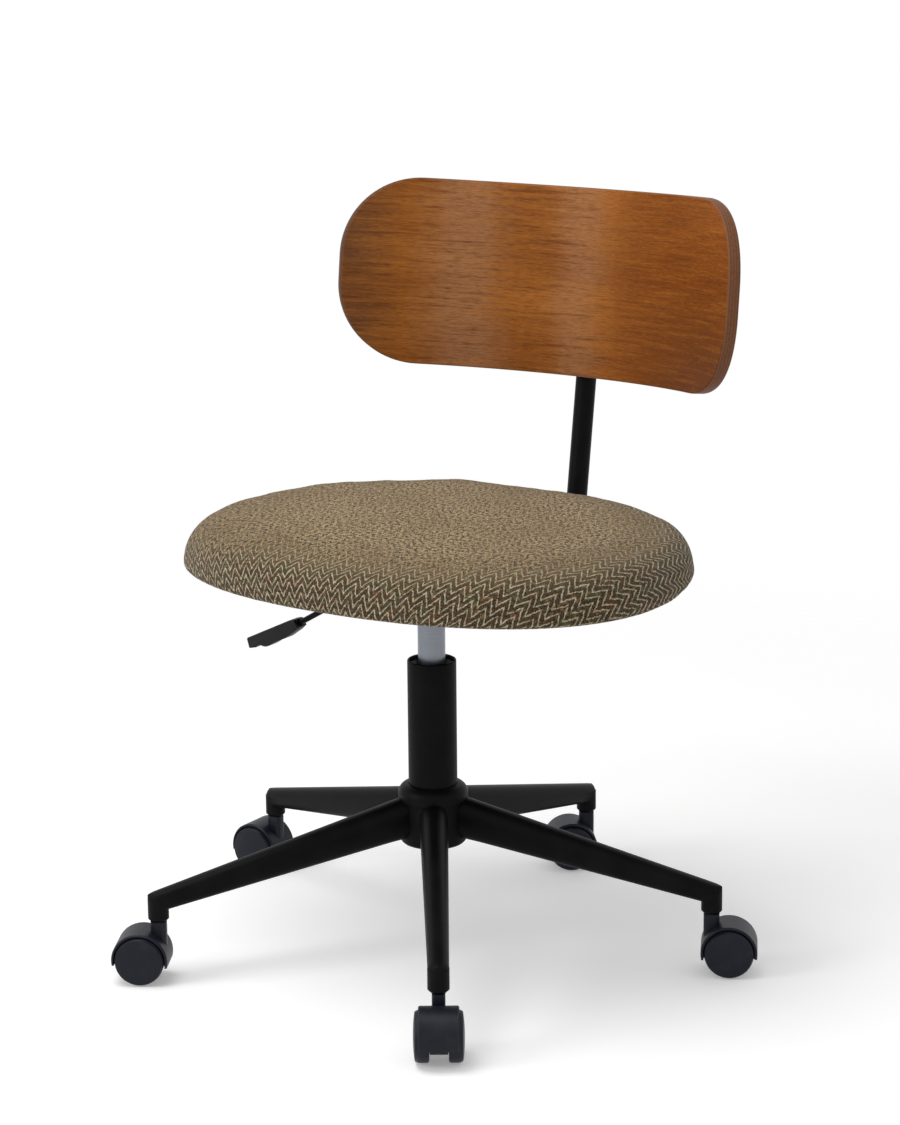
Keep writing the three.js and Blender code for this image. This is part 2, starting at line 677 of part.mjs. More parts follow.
// The rod stands on the thrust bearing and turns with the seat.
function pistonRod() {
  const piston = CYLINDER_RADIUS - CYLINDER_WALL - GAP;
  const shoulder = BEARING_TOP + GAP;
  return solid(turned([
    [0, ROD_BOTTOM],
    [ROD_RADIUS, ROD_BOTTOM],
    [ROD_RADIUS, CLIP_BOTTOM - GAP],
    [ROD_RADIUS - ROD_GROOVE, CLIP_BOTTOM - GAP],
    [ROD_RADIUS - ROD_GROOVE, CLIP_TOP + GAP],
    [ROD_RADIUS, CLIP_TOP + GAP],
    [ROD_RADIUS, shoulder],
    [ROD_SHOULDER_RADIUS, shoulder],
    [ROD_SHOULDER_RADIUS, shoulder + ROD_SHOULDER],
    [ROD_RADIUS, shoulder + ROD_SHOULDER],
    [ROD_RADIUS, PISTON_BOTTOM],
    [piston, PISTON_BOTTOM],
    [piston, PISTON_BOTTOM + PISTON_LENGTH],
    [0, PISTON_BOTTOM + PISTON_LENGTH],
  ], POST_SIDES));
}

function thrustBearing() {
  const inner = ROD_RADIUS + GAP;
  const waist = BEARING_RADIUS - BEARING_WAIST;
  return solid(turned([
    [inner, BEARING_BOTTOM],
    [BEARING_RADIUS, BEARING_BOTTOM],
    [BEARING_RADIUS, BEARING_BOTTOM + BEARING_WASHER],
    [waist, BEARING_BOTTOM + BEARING_WASHER],
    [waist, BEARING_TOP - BEARING_WASHER],
    [BEARING_RADIUS, BEARING_TOP - BEARING_WASHER],
    [BEARING_RADIUS, BEARING_TOP],
    [inner, BEARING_TOP],
  ], POST_SIDES));
}

function retainingClip() {
  const inner = ROD_RADIUS - ROD_GROOVE + GAP;
  const ring = solid(turned([
    [inner, CLIP_BOTTOM],
    [CLIP_RADIUS, CLIP_BOTTOM],
    [CLIP_RADIUS, CLIP_TOP],
    [inner, CLIP_TOP],
  ]));
  const mouth = solid(block(
    [-CLIP_MOUTH / 2, 0, CLIP_BOTTOM - OVERRUN],
    [CLIP_MOUTH / 2, CLIP_RADIUS + OVERRUN, CLIP_TOP + OVERRUN],
  ));
  return ring.subtract(mouth);
}

// Seat

// Squares a round shape off to the seat's plan, which narrows to the back.
function seatPlan(geometry) {
  return moved(geometry, (vertex) => {
    const radius = Math.hypot(vertex.x, vertex.y);
    if (radius === 0) return;
    const x = squaredCosine(vertex.x / radius, SEAT_SQUARENESS);
    const y = squaredCosine(vertex.y / radius, SEAT_SQUARENESS);
    const backward = radius * y / SEAT_HALF_WIDTH;
    vertex.x = radius * x * (1 - SEAT_TAPER_SHARE * backward);
    vertex.y = backward * SEAT_HALF_DEPTH;
  }).translate(0, SEAT_BEHIND, 0);
}

// A crowned pad with drawn-in lower sides. The board sits in its underside.
function seatCushion() {
  const profile = [
    [0, BOARD_TOP + GAP],
    [BOARD_RADIUS + GAP, BOARD_TOP + GAP],
    [BOARD_RADIUS + GAP, SEAT_UNDERSIDE],
  ];
  for (let i = 0; i <= SEAT_SIDE_STEPS; i += 1) {
    const turn = Math.PI * (i / SEAT_SIDE_STEPS - 1 / 2);
    const below = turn < 0;
    const inset = below ? SEAT_FOOT_INSET : SEAT_EDGE_INSET;
    const rise = below ? SEAT_SIDE_RISE : SEAT_EDGE_RISE - SEAT_SIDE_RISE;
    const radius = SEAT_HALF_WIDTH - inset * (1 - Math.cos(turn));
    profile.push([radius, SEAT_WIDEST + rise * Math.sin(turn)]);
  }
  for (let i = SEAT_CROWN_STEPS - 1; i >= 0; i -= 1) {
    const share = i / SEAT_CROWN_STEPS;
    profile.push([CROWN_EDGE * share, SEAT_TOP_EDGE + SEAT_CROWN * (1 - share * share)]);
  }
  return solid(seatPlan(turned(profile, SEAT_SIDES)));
}

const boltPlaces = [
  ['seat_bolt_front_left', PLATE_BOLT_X, -PLATE_BOLT_Y],
  ['seat_bolt_front_right', -PLATE_BOLT_X, -PLATE_BOLT_Y],
  ['seat_bolt_rear_left', PLATE_BOLT_X, PLATE_BOLT_Y],
  ['seat_bolt_rear_right', -PLATE_BOLT_X, PLATE_BOLT_Y],
  ['post_bolt_front', 0, POST_BOLT_FRONT],
  ['post_bolt_rear_left', POST_BOLT_X, POST_BOLT_REAR],
  ['post_bolt_rear_right', -POST_BOLT_X, POST_BOLT_REAR],
];

// Takes the bolts' holes out of a piece, up to a height.
function bolted(body, top) {
  return boltPlaces.reduce((rest, [, x, y]) => {
    const hole = bar(BOLT_RADIUS + GAP, PLATE_BOTTOM - OVERRUN, top, SMALL_SIDES);
    return rest.subtract(solid(hole.translate(x, y, 0)));
  }, body);
}

function seatBoard() {
  const slab = solid(seatPlan(bar(BOARD_RADIUS, BOARD_BOTTOM, BOARD_TOP, SEAT_SIDES)));
  return bolted(slab, PLATE_TOP + BOLT_REACH + GAP);
}

function bottomCover() {
  const sheet = solid(seatPlan(bar(CUSHION_FOOT - COVER_INSET, COVER_BOTTOM, COVER_TOP, SEAT_SIDES)));
  return bolted(sheet, COVER_TOP + OVERRUN);
}

// A screw standing up from a face at height zero, with its head below.
function screw(radius, headRadius, headHeight, reach) {
  const body = solid(turned([
    [0, -headHeight],
    [headRadius - BOLT_EDGE, -headHeight],
    [headRadius, 0],
    [radius, 0],
    [radius, reach],
    [0, reach],
  ], SMALL_SIDES));
  const recessFloor = BOLT_SOCKET_DEPTH - headHeight;
  const recess = bar(BOLT_SOCKET_RADIUS, -headHeight - OVERRUN, recessFloor, RECESS_SIDES);
  return body.subtract(solid(recess));
}

function seatPlate() {
  const flange = solid(raised(
    roundedRectangle(PLATE_HALF_WIDTH, PLATE_HALF_LENGTH, PLATE_CORNER),
    PLATE_BOTTOM,
    PLATE_TOP,
  ));
  const pan = solid(raised(
    roundedRectangle(PAN_HALF_WIDTH, PAN_HALF_LENGTH, PAN_CORNER),
    PAN_BOTTOM,
    PLATE_TOP - PLATE_THICKNESS / 2,
  ));
  const hollow = solid(raised(
    roundedRectangle(PAN_HALF_WIDTH - PLATE_THICKNESS, PAN_HALF_LENGTH - PLATE_THICKNESS, PAN_CORNER),
    PAN_FLOOR,
    PLATE_TOP + OVERRUN,
  ));
  const taperSocket = solid(bar(TAPER_SOCKET_RADIUS, TAPER_SOCKET_BOTTOM, PAN_FLOOR));
  const foot = solid(turned([
    [TAPER_SOCKET_FOOT_RADIUS, TAPER_SOCKET_BOTTOM - OVERRUN],
    [TAPER_SOCKET_RADIUS + OVERRUN, TAPER_SOCKET_BOTTOM - OVERRUN],
    [TAPER_SOCKET_RADIUS + OVERRUN, PAN_BOTTOM - PLATE_THICKNESS],
    [TAPER_SOCKET_RADIUS, PAN_BOTTOM - PLATE_THICKNESS],
    [TAPER_SOCKET_FOOT_RADIUS, TAPER_SOCKET_BOTTOM],
  ]));
  const bore = solid(turned([
    [0, TAPER_SOCKET_BOTTOM - OVERRUN],
    [CYLINDER_RADIUS + GAP, TAPER_SOCKET_BOTTOM - OVERRUN],
    [CYLINDER_RADIUS + GAP, TAPER_SOCKET_BOTTOM],
    [CYLINDER_TOP_RADIUS + GAP, CYLINDER_TOP],
    [0, CYLINDER_TOP],
  ]));
  const slot = solid(block(
    [-PAN_HALF_WIDTH - OVERRUN, -SLOT_HALF_WIDTH, PAN_FLOOR],
    [PIVOT_X - EAR_LENGTH / 2, SLOT_HALF_WIDTH, SLOT_TOP],
  ));
  const earsFace = LEVER_BOSS_HALF_WIDTH + GAP + EAR_THICKNESS;
  const pivotHole = solid(pivotBar(PIVOT_PIN_RADIUS + GAP, earsFace + OVERRUN));
  const ears = [1, -1].map((side) => {
    const near = side * (earsFace - EAR_THICKNESS);
    const far = side * earsFace;
    return solid(block(
      [PIVOT_X - EAR_LENGTH / 2, Math.min(near, far), PAN_FLOOR - PLATE_THICKNESS / 2],
      [PIVOT_X + EAR_LENGTH / 2, Math.max(near, far), PIVOT_Z + EAR_RISE],
    ));
  });
  const pressed = flange.add(pan).subtract(hollow).add(taperSocket).subtract(foot).subtract(bore);
  const eared = pressed.add(ears[0]).add(ears[1]);
  return bolted(eared.subtract(slot).subtract(pivotHole), PLATE_TOP + OVERRUN);
}

// Release lever

function pivotBar(radius, halfLength) {
  return bar(radius, -halfLength, halfLength, SMALL_SIDES)
    .rotateX(Math.PI / 2)
    .translate(PIVOT_X, 0, PIVOT_Z);
}

const leverStart = new THREE.Vector3(LEVER_INNER_END, 0, PIVOT_Z);
const leverPath = bentPath(
  LEVER_INNER_RUN,
  LEVER_BEND_RADIUS,
  -radians(LEVER_SLOPE_DEG),
  LEVER_OUTER_RUN,
);
const towardsRight = new THREE.Vector3(-1, 0, 0);
const towardsBack = new THREE.Vector3(0, 1, 0);
const upwards = new THREE.Vector3(0, 0, 1);

function leverRod() {
  const profile = barProfile(leverPath, LEVER_RADIUS);
  const rod = solid(laidAlong(turned(profile, SMALL_SIDES), leverPath, leverStart, towardsRight, upwards));
  const boss = solid(pivotBar(LEVER_BOSS_RADIUS, LEVER_BOSS_HALF_WIDTH));
  const hole = solid(pivotBar(PIVOT_PIN_RADIUS + GAP, LEVER_BOSS_HALF_WIDTH + OVERRUN));
  return rod.add(boss).subtract(hole);
}

// The grip: a straight top and two finger bumps below.
function leverHandle() {
  const outline = new THREE.Shape();
  HANDLE_OUTLINE.forEach(([share, height], i) => {
    if (i === 0) outline.moveTo(HANDLE_LENGTH * share, height);
    else outline.lineTo(HANDLE_LENGTH * share, height);
  });
  outline.closePath();
  const last = leverPath.stations[leverPath.stations.length - 1];
  const end = leverPath.at(last - HANDLE_ON_ROD);
  const along = towardsRight.clone().multiplyScalar(Math.cos(end.angle));
  along.addScaledVector(upwards, Math.sin(end.angle));
  const across = towardsBack.clone();
  const up = new THREE.Vector3().crossVectors(across, along);
  if (up.z < 0) up.negate();
  const start = leverStart.clone().addScaledVector(towardsRight, end.along);
  start.addScaledVector(upwards, end.rise);
  const grip = moved(raised(outline, -HANDLE_WIDTH / 2, HANDLE_WIDTH / 2), (vertex) => {
    const { x, y, z } = vertex;
    vertex.copy(start);
    vertex.addScaledVector(along, x);
    vertex.addScaledVector(up, y);
    vertex.addScaledVector(across, z);
  });
  const bore = laidAlong(
    turned(barProfile(leverPath, LEVER_RADIUS + GAP), SMALL_SIDES),
    leverPath,
    leverStart,
    towardsRight,
    upwards,
  );
  const tipRoom = along.clone().multiplyScalar(GAP);
  return solid(grip).subtract(solid(bore)).subtract(solid(bore.clone().translate(...tipRoom)));
}

// Back post

const postTurn = radians(90 - POST_LEAN_DEG);
const postTangent = POST_BEND_RADIUS * Math.tan(postTurn / 2);
const postUpright = (POST_TOP - POST_RUN_HEIGHT) / Math.cos(radians(POST_LEAN_DEG));
const postPath = bentPath(
  POST_LINE_Y - POST_FRONT - postTangent,
  POST_BEND_RADIUS,
  postTurn,
  postUpright - postTangent,
);
const postStart = new THREE.Vector3(0, POST_FRONT, POST_RUN_HEIGHT);

function postShape(profile) {
  return laidAlong(turned(profile, POST_SIDES), postPath, postStart, towardsBack, upwards);
}

function backPost() {
  const tube = solid(postShape(tubeProfile(postPath, POST_RADIUS, POST_RADIUS - POST_WALL)));
  const plateMiddle = POST_PLATE_FRONT + POST_PLATE_LENGTH / 2;
  const plate = solid(raised(
    roundedRectangle(POST_PLATE_HALF_WIDTH, POST_PLATE_LENGTH / 2, POST_PLATE_CORNER),
    PLATE_BOTTOM,
    PLATE_TOP,
  ).translate(0, plateMiddle, 0));
  const bore = solid(postShape(barProfile(postPath, POST_RADIUS - POST_WALL)));
  return bolted(tube.add(plate.subtract(bore)), PLATE_TOP + OVERRUN);
}

// A plug that closes the top of the post.
function postCap() {
  const plug = POST_RADIUS - POST_WALL - GAP;
  const mesh = piece('post_top_cap', solid(turned([
    [0, -CAP_PLUG],
    [plug, -CAP_PLUG],
    [plug, GAP],
    [POST_RADIUS, GAP],
    [POST_RADIUS, CAP_HEAD / 2],
    [plug, CAP_HEAD],
    [0, CAP_HEAD],
  ], POST_SIDES)), blackPlastic);
  const top = postPath.at(postPath.stations[postPath.stations.length - 1]);
  mesh.position.set(0, POST_FRONT + top.along, POST_RUN_HEIGHT + top.rise);
  mesh.rotation.x = -radians(POST_LEAN_DEG);
  return mesh;
}

// Backrest. Its own frame has the panel's front face at the origin, Y towards the
// back and Z up the panel.

const backFrame = new THREE.Group();
backFrame.position.set(0, PANEL_Y, PANEL_Z);
backFrame.rotation.x = -radians(PANEL_LEAN_DEG);
backFrame.updateMatrix();

// A curved plywood panel with rounded ends and eased edges.
function backrestPanel() {
  const columns = 2 * ARC_STEPS + PANEL_MIDDLE_STEPS;
  const layers = [
    { depth: 0, inset: PANEL_EDGE },
    { depth: PANEL_EDGE, inset: 0 },
    { depth: PANEL_THICKNESS - PANEL_EDGE, inset: 0 },
    { depth: PANEL_THICKNESS, inset: PANEL_EDGE },
  ];
  const straight = PANEL_HALF_LENGTH - PANEL_CORNER;
  const flatHalf = PANEL_HEIGHT / 2 - PANEL_CORNER;
  // Distance along the curve and half-height of one column of the panel.
  function column(index, inset) {
    const fromMiddle = index - columns / 2;
    const side = Math.sign(fromMiddle);
    const corner = Math.max(Math.abs(fromMiddle) - PANEL_MIDDLE_STEPS / 2, 0) / ARC_STEPS;
    const turn = (corner * Math.PI) / 2;
    const inner = corner > 0 ? straight * side : (fromMiddle / (PANEL_MIDDLE_STEPS / 2)) * straight;
    return {
      along: inner + side * (PANEL_CORNER - inset) * Math.sin(turn),
      half: flatHalf + (PANEL_CORNER - inset) * Math.cos(turn),
    };
  }
  const box = new THREE.BoxGeometry(1, 1, 1, columns, 1, layers.length - 1);
  const panel = moved(box, (vertex) => {
    const layer = layers[Math.round((vertex.z + 1 / 2) * (layers.length - 1))];
    const place = column(Math.round((vertex.x + 1 / 2) * columns), layer.inset);
    const radius = PANEL_CURVE_RADIUS + layer.depth;
    const turn = place.along / PANEL_CURVE_RADIUS;
    const height = 2 * vertex.y * place.half;
    vertex.set(radius * Math.sin(turn), radius * Math.cos(turn) - PANEL_CURVE_RADIUS, height);
  });
  return screwed(solid(panel), PANEL_THICKNESS - SCREW_REACH - GAP);
}

const screwPlaces = [
  ['back_screw_top_left', SCREW_X, SCREW_UP],
  ['back_screw_top_right', -SCREW_X, SCREW_UP],
  ['back_screw_bottom_left', SCREW_X, SCREW_DOWN],
  ['back_screw_bottom_right', -SCREW_X, SCREW_DOWN],
];

// How far behind the panel's front face a screw's head seats.
const curveDrop = (PANEL_CURVE_RADIUS + PANEL_THICKNESS)
  - Math.sqrt((PANEL_CURVE_RADIUS + PANEL_THICKNESS) ** 2 - SCREW_X ** 2);
const screwSeat = PANEL_THICKNESS + GAP + BRACKET_THICKNESS - curveDrop;

// Takes the screws' holes out of a piece, from a depth behind the front face.
function screwed(body, depth) {
  return screwPlaces.reduce((rest, [, x, z]) => {
    const hole = bar(SCREW_RADIUS + GAP, depth, CHANNEL_BACK, SMALL_SIDES);
    return rest.subtract(solid(hole.rotateX(-Math.PI / 2).translate(x, 0, z)));
  }, body);
}

// A pressed plate that follows the panel's back, with a channel that saddles the post.
function backBracket() {
  const face = PANEL_CURVE_RADIUS + PANEL_THICKNESS + GAP;
  const halfTurn = Math.asin(BRACKET_HALF_WIDTH / face);
  const strip = new THREE.Shape();
  strip.absarc(0, 0, face, Math.PI / 2 - halfTurn, Math.PI / 2 + halfTurn, false);
  strip.absarc(0, 0, face + BRACKET_THICKNESS, Math.PI / 2 + halfTurn, Math.PI / 2 - halfTurn, true);
  strip.closePath();
  const pressing = raised(strip, BRACKET_BOTTOM, BRACKET_TOP, BRACKET_STEPS);
  const plate = solid(pressing.translate(0, -PANEL_CURVE_RADIUS, 0));
  const channel = solid(block(
    [-CHANNEL_HALF_WIDTH, PANEL_THICKNESS + GAP + BRACKET_THICKNESS / 2, BRACKET_BOTTOM],
    [CHANNEL_HALF_WIDTH, CHANNEL_BACK, BRACKET_TOP],
  ));
  const hollow = solid(block(
    [BRACKET_THICKNESS - CHANNEL_HALF_WIDTH, 0, BRACKET_BOTTOM - OVERRUN],
    [CHANNEL_HALF_WIDTH - BRACKET_THICKNESS, PANEL_THICKNESS + CHANNEL_HOLLOW, BRACKET_TOP + OVERRUN],
  ));
  const toPanel = backFrame.matrix.clone().invert();
  const post = solid(postShape(barProfile(postPath, POST_RADIUS + GAP)).applyMatrix4(toPanel));
  const seats = screwPlaces.map(([, x, z]) => solid(
    bar(SCREW_HEAD_RADIUS + GAP, screwSeat, CHANNEL_BACK, SMALL_SIDES)
      .rotateX(-Math.PI / 2)
      .translate(x, 0, z),
  ));
  const pressed = plate.add(channel).subtract(hollow).subtract(post);
  const seated = seats.reduce((rest, seat) => rest.subtract(seat), pressed);
  return screwed(seated, 0);
}

function backScrew(name, x, z) {
  const reach = screwSeat + GAP - (PANEL_THICKNESS - SCREW_REACH);
  const body = screw(SCREW_RADIUS, SCREW_HEAD_RADIUS, SCREW_HEAD_HEIGHT, reach);
  const mesh = piece(name, body, zincSteel);
  mesh.rotation.x = Math.PI / 2;
  mesh.position.set(x, screwSeat + GAP, z);
  return mesh;
}

// Assembly

const chair = new THREE.Group();
chair.position.set(COLUMN_X, COLUMN_Y, 0);

// Legs and casters, from the sitter's front left round to the front right, each with
// the azimuth that its caster trails along in the photograph.
const legs = [
  ['front_left', 33],
  ['left', 117.4],
  ['rear', 307.4],
  ['right', 269.8],
  ['front_right', 298.4],
];

// The base is turned so that its facets line up with the legs.
const base = new THREE.Group();
base.rotation.z = radians(FIRST_LEG_DEG);
base.add(piece('base_hub', hub(), blackPaint));
base.add(piece('column_tube', columnTube(), blackPaint));
base.add(piece('guide_sleeve', guideSleeve(), blackPlastic));
legs.forEach(([name, trailDeg], i) => {
  const turn = (360 / legs.length) * i;
  const arm = new THREE.Group();
  arm.rotation.z = radians(turn);
  arm.add(piece(`${name}_leg`, leg(), blackPaint));
  const wheels = caster(name);
  wheels.position.set(0, -SOCKET_CIRCLE, 0);
  wheels.rotation.z = radians(trailDeg - FIRST_LEG_DEG - turn);
  arm.add(wheels);
  base.add(arm);
});
chair.add(base);

chair.add(piece('gas_cylinder', gasCylinder(), chromeSteel));
chair.add(piece('piston_rod', pistonRod(), zincSteel));
chair.add(piece('thrust_bearing', thrustBearing(), zincSteel));
chair.add(piece('retaining_clip', retainingClip(), zincSteel));
chair.add(piece('release_pin', solid(bar(PIN_RADIUS, PIN_FOOT, PIN_TOP, SMALL_SIDES)), zincSteel));

chair.add(piece('seat_plate', seatPlate(), blackPaint));
chair.add(piece('lever_pivot_pin', solid(pivotBar(
  PIVOT_PIN_RADIUS,
  LEVER_BOSS_HALF_WIDTH + GAP + EAR_THICKNESS + GAP,
)), zincSteel));
chair.add(piece('lever_rod', leverRod(), blackPaint));
chair.add(piece('lever_handle', leverHandle(), greyPlastic));
chair.add(piece('seat_board', seatBoard(), plywood));
chair.add(piece('seat_cushion', seatCushion(), tweed));
chair.add(piece('seat_bottom_cover', bottomCover(), blackCloth));
boltPlaces.forEach(([name, x, y]) => {
  const body = screw(BOLT_RADIUS, BOLT_HEAD_RADIUS, BOLT_HEAD_HEIGHT, PLATE_THICKNESS + BOLT_REACH);
  const bolt = piece(name, body, zincSteel);
  bolt.position.set(x, y, PLATE_BOTTOM - GAP);
  chair.add(bolt);
});

chair.add(piece('back_post', backPost(), blackPaint));
chair.add(postCap());
backFrame.add(piece('backrest_panel', backrestPanel(), walnut));
backFrame.add(piece('back_bracket', backBracket(), blackPaint));
screwPlaces.forEach(([name, x, z]) => backFrame.add(backScrew(name, x, z)));
chair.add(backFrame);

export default chair;
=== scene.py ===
# %% [markdown]
# # A swivel desk chair
#
# This lesson dresses a chair whose solids are already built and packed. Each solid is a
# node at its real size and place, and each node rides on a body that can move. The
# visible surfaces are modelled here: a padded tweed seat, a veneered back, coated steel
# and moulded casters. All lengths are in metres, +Z is up and the sitter faces -Y.

# %% Load the frame
import math

import bmesh
import bpy
import numpy as np
from mathutils import Matrix, Vector


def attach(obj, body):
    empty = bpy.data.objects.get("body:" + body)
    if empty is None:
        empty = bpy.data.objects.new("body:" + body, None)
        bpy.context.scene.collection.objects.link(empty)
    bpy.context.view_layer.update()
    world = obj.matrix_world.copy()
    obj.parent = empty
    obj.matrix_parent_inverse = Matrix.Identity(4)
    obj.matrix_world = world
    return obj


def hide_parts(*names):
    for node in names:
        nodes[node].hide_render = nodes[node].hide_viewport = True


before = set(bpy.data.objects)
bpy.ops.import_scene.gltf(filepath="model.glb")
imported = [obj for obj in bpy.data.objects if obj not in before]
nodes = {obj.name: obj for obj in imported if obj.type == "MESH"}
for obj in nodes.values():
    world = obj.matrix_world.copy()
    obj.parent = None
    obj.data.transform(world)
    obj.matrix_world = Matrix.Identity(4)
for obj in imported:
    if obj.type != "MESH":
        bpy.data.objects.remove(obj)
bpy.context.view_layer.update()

# %% [markdown]
# The lift column is the chair's axis. It isn't at the origin, because the origin is under
# the middle of the chair's box. The sizes below are the real ones, in millimetres, that
# the solids were made to.

# %% The column's axis
MM = 0.001
AXIS = Vector((-5.0, -25.4, 0)) * MM
print("column axis", tuple(round(value, 4) for value in AXIS))

# %% [markdown]
# A lens, a lamp or a mesh is only data until an object shows it. That step comes up for
# the camera, the lamps, the floor and each piece, so two short functions take it.


# %% Objects
def in_scene(name, data):
    """Makes an object that shows some data, and puts it in the scene."""
    made = bpy.data.objects.new(name, data)
    bpy.context.scene.collection.objects.link(made)
    return made


def from_shape(name, shape):
    """Makes an object of a finished shape."""
    mesh = bpy.data.meshes.new(name)
    shape.to_mesh(mesh)
    shape.free()
    return in_scene(name, mesh)


# %% [markdown]
# ## Finishes
#
# A finish is a node tree. Its maths reads best as plain sums, so a small class wraps a
# node's output and turns each sum into a Math node. Every other node comes from one
# method that takes its type, its settings and its inputs.


# %% Sums of sockets
class Wire:
    """A node's output that can be used in sums."""

    def __init__(self, finish, output):
        self.finish = finish
        self.output = output

    def sum(self, operation, *values):
        return self.finish.add("Math", {"operation": operation}, dict(enumerate(values)))

    def __add__(self, other):
        return self.sum("ADD", self, other)

    def __sub__(self, other):
        return self.sum("SUBTRACT", self, other)

    def __rsub__(self, other):
        return self.sum("SUBTRACT", other, self)

    def __mul__(self, other):
        return self.sum("MULTIPLY", self, other)

    def __truediv__(self, other):
        return self.sum("DIVIDE", self, other)

    def __abs__(self):
        return self.sum("ABSOLUTE", self)

    __radd__ = __add__
    __rmul__ = __mul__

    def part(self):
        """What is left after the whole number."""
        return self.sum("FRACT", self)

    def ramp(self, start, end):
        """0 below start, 1 above end, smooth between them."""
        sockets = {"Value": self, "From Min": start, "From Max": end}
        return self.finish.add("MapRange", {"interpolation_type": "SMOOTHSTEP"}, sockets)


# %% [markdown]
# Colours are picked on the screen, and a shader takes them as linear values. A finish
# could be built in the editor, node by node, but a class with a method for each kind of
# node that comes up often keeps a finish to a few lines and makes it easy to compare.


# %% One finish
def srgb(code):
    """A colour picked on the screen, as the linear value that a shader takes."""
    levels = [int(code[i : i + 2], 16) / 255 for i in (1, 3, 5)]
    linear = [v / 12.92 if v <= 0.04045 else ((v + 0.055) / 1.055) ** 2.4 for v in levels]
    return (*linear, 1.0)


class Finish:
    """A material whose nodes are added one at a time."""

    def __init__(self, name, **shader):
        self.material = bpy.data.materials.new(name)
        self.material.use_nodes = True
        self.tree = self.material.node_tree
        self.shader = self.tree.nodes["Principled BSDF"]
        for socket, value in shader.items():
            self.shader.inputs[socket.replace("_", " ")].default_value = value

    def add(self, kind, settings=None, sockets=None, output=0):
        node = self.tree.nodes.new("ShaderNode" + kind)
        for name, value in (settings or {}).items():
            setattr(node, name, value)
        for name, value in (sockets or {}).items():
            self.plug(node.inputs[name], value)
        return Wire(self, node.outputs[output])

    def plug(self, socket, value):
        if isinstance(value, Wire):
            self.tree.links.new(value.output, socket)
        else:
            socket.default_value = value

    def place(self, scale=(1, 1, 1)):
        """The point on the object, stretched."""
        point = self.add("TexCoord", output="Object")
        return self.add("Mapping", {}, {"Vector": point, "Scale": scale})

    def noise(self, point, scale, detail=2.0, roughness=0.5):
        sockets = {"Vector": point, "Scale": scale, "Detail": detail, "Roughness": roughness}
        return self.add("TexNoise", {}, sockets)

    def split(self, vector):
        """The three parts of a vector."""
        node = self.add("SeparateXYZ", {}, {"Vector": vector}).output.node
        return [Wire(self, output) for output in node.outputs]

    def mix(self, share, first, second):
        """One colour or the other, by share."""
        sockets = {"Factor": share, 6: first, 7: second}
        return self.add("Mix", {"data_type": "RGBA"}, sockets, output=2)

    def layered(self, tone, *layers):
        """Lays colours over a tone, each by its own share."""
        for share, code in layers:
            tone = self.mix(share, tone, srgb(code))
        return tone

    def bump(self, height, distance, strength=1.0):
        sockets = {"Height": height, "Distance": distance, "Strength": strength}
        return self.add("Bump", {}, sockets)

    def wear(self, colour, roughness, normal=None):
        """Gives the shader its colour, its roughness and its bumps."""
        self.plug(self.shader.inputs["Base Color"], colour)
        self.plug(self.shader.inputs["Roughness"], roughness)
        if normal:
            self.plug(self.shader.inputs["Normal"], normal)
        return self.material


# %% [markdown]
# Powder coat is a skin of melted plastic. It is never quite flat: close up it has the
# dimples of an orange's peel, and its gloss changes a little from place to place. Two
# noises give both. The dimples are about a millimetre across and far less deep.


# %% Black powder coat
def powder_coat(name, colour, roughness):
    coat = Finish(name, Specular_IOR_Level=0.06)
    point = coat.place()
    peel = coat.noise(point, 700.0, 2.0)
    cloud = coat.noise(point, 28.0, 3.0)
    speck = coat.noise(point, 3200.0, 1.0).ramp(0.66, 0.72)
    pale = tuple(min(1.0, value * 2.2 + 0.004) for value in colour[:3])
    tone = coat.mix(cloud.ramp(0.35, 0.75) * 0.35 + speck * 0.25, colour, (*pale, 1.0))
    return coat.wear(tone, roughness - 0.05 + cloud * 0.1, coat.bump(peel, 0.00012, 0.6))


black_coat = powder_coat("black_coat", srgb("#0a0a0c"), 0.44)

# %% [markdown]
# Nylon casters and caps come out of a mould that was lightly blasted, so the plastic has
# a fine grain and a dull sheen. Scuffs show as slightly paler, rougher patches.


# %% Moulded plastic
def moulded(name, colour, roughness, scuff):
    plastic = Finish(name, Specular_IOR_Level=0.2)
    point = plastic.place()
    grain = plastic.noise(point, 2600.0, 2.0)
    patch = plastic.noise(point, 55.0, 4.0, 0.6)
    pale = tuple(min(1.0, value * 1.7 + 0.01) for value in colour[:3])
    tone = plastic.mix(patch.ramp(0.45, 0.75) * scuff, colour, (*pale, 1.0))
    return plastic.wear(tone, roughness + patch * 0.14 - 0.07, plastic.bump(grain, 0.00006, 0.7))


caster_nylon = moulded("caster_nylon", srgb("#12141e"), 0.44, 0.4)
grip_plastic = moulded("grip_plastic", srgb("#121213"), 0.5, 0.3)
sleeve_plastic = moulded("sleeve_plastic", srgb("#101011"), 0.45, 0.2)

# %% [markdown]
# The lift cylinder is ground on a lathe, which leaves hair-fine rings around it. A noise
# that is squeezed along Z and stretched around the axis draws them, and oil from the
# guide sleeve leaves a faint cloudy film.


# %% Ground steel
def ground_steel(name, colour, roughness, rings):
    steel = Finish(name, Metallic=1.0)
    ring = steel.noise(steel.place((6, 6, rings)), 1.0, 2.0, 0.6)
    film = steel.noise(steel.place(), 60.0, 3.0)
    dull = tuple(value * 0.72 for value in colour[:3])
    return steel.wear(
        steel.mix(ring.ramp(0.3, 0.75) * 0.6 + film * 0.3, colour, (*dull, 1.0)),
        roughness - 0.06 + ring * 0.08 + film * 0.08,
        steel.bump(ring, 0.00002, 0.5),
    )


cylinder_steel = ground_steel("cylinder_steel", srgb("#84888f"), 0.34, 4200.0)
zinc_steel = ground_steel("zinc_steel", srgb("#8f9194"), 0.42, 900.0)

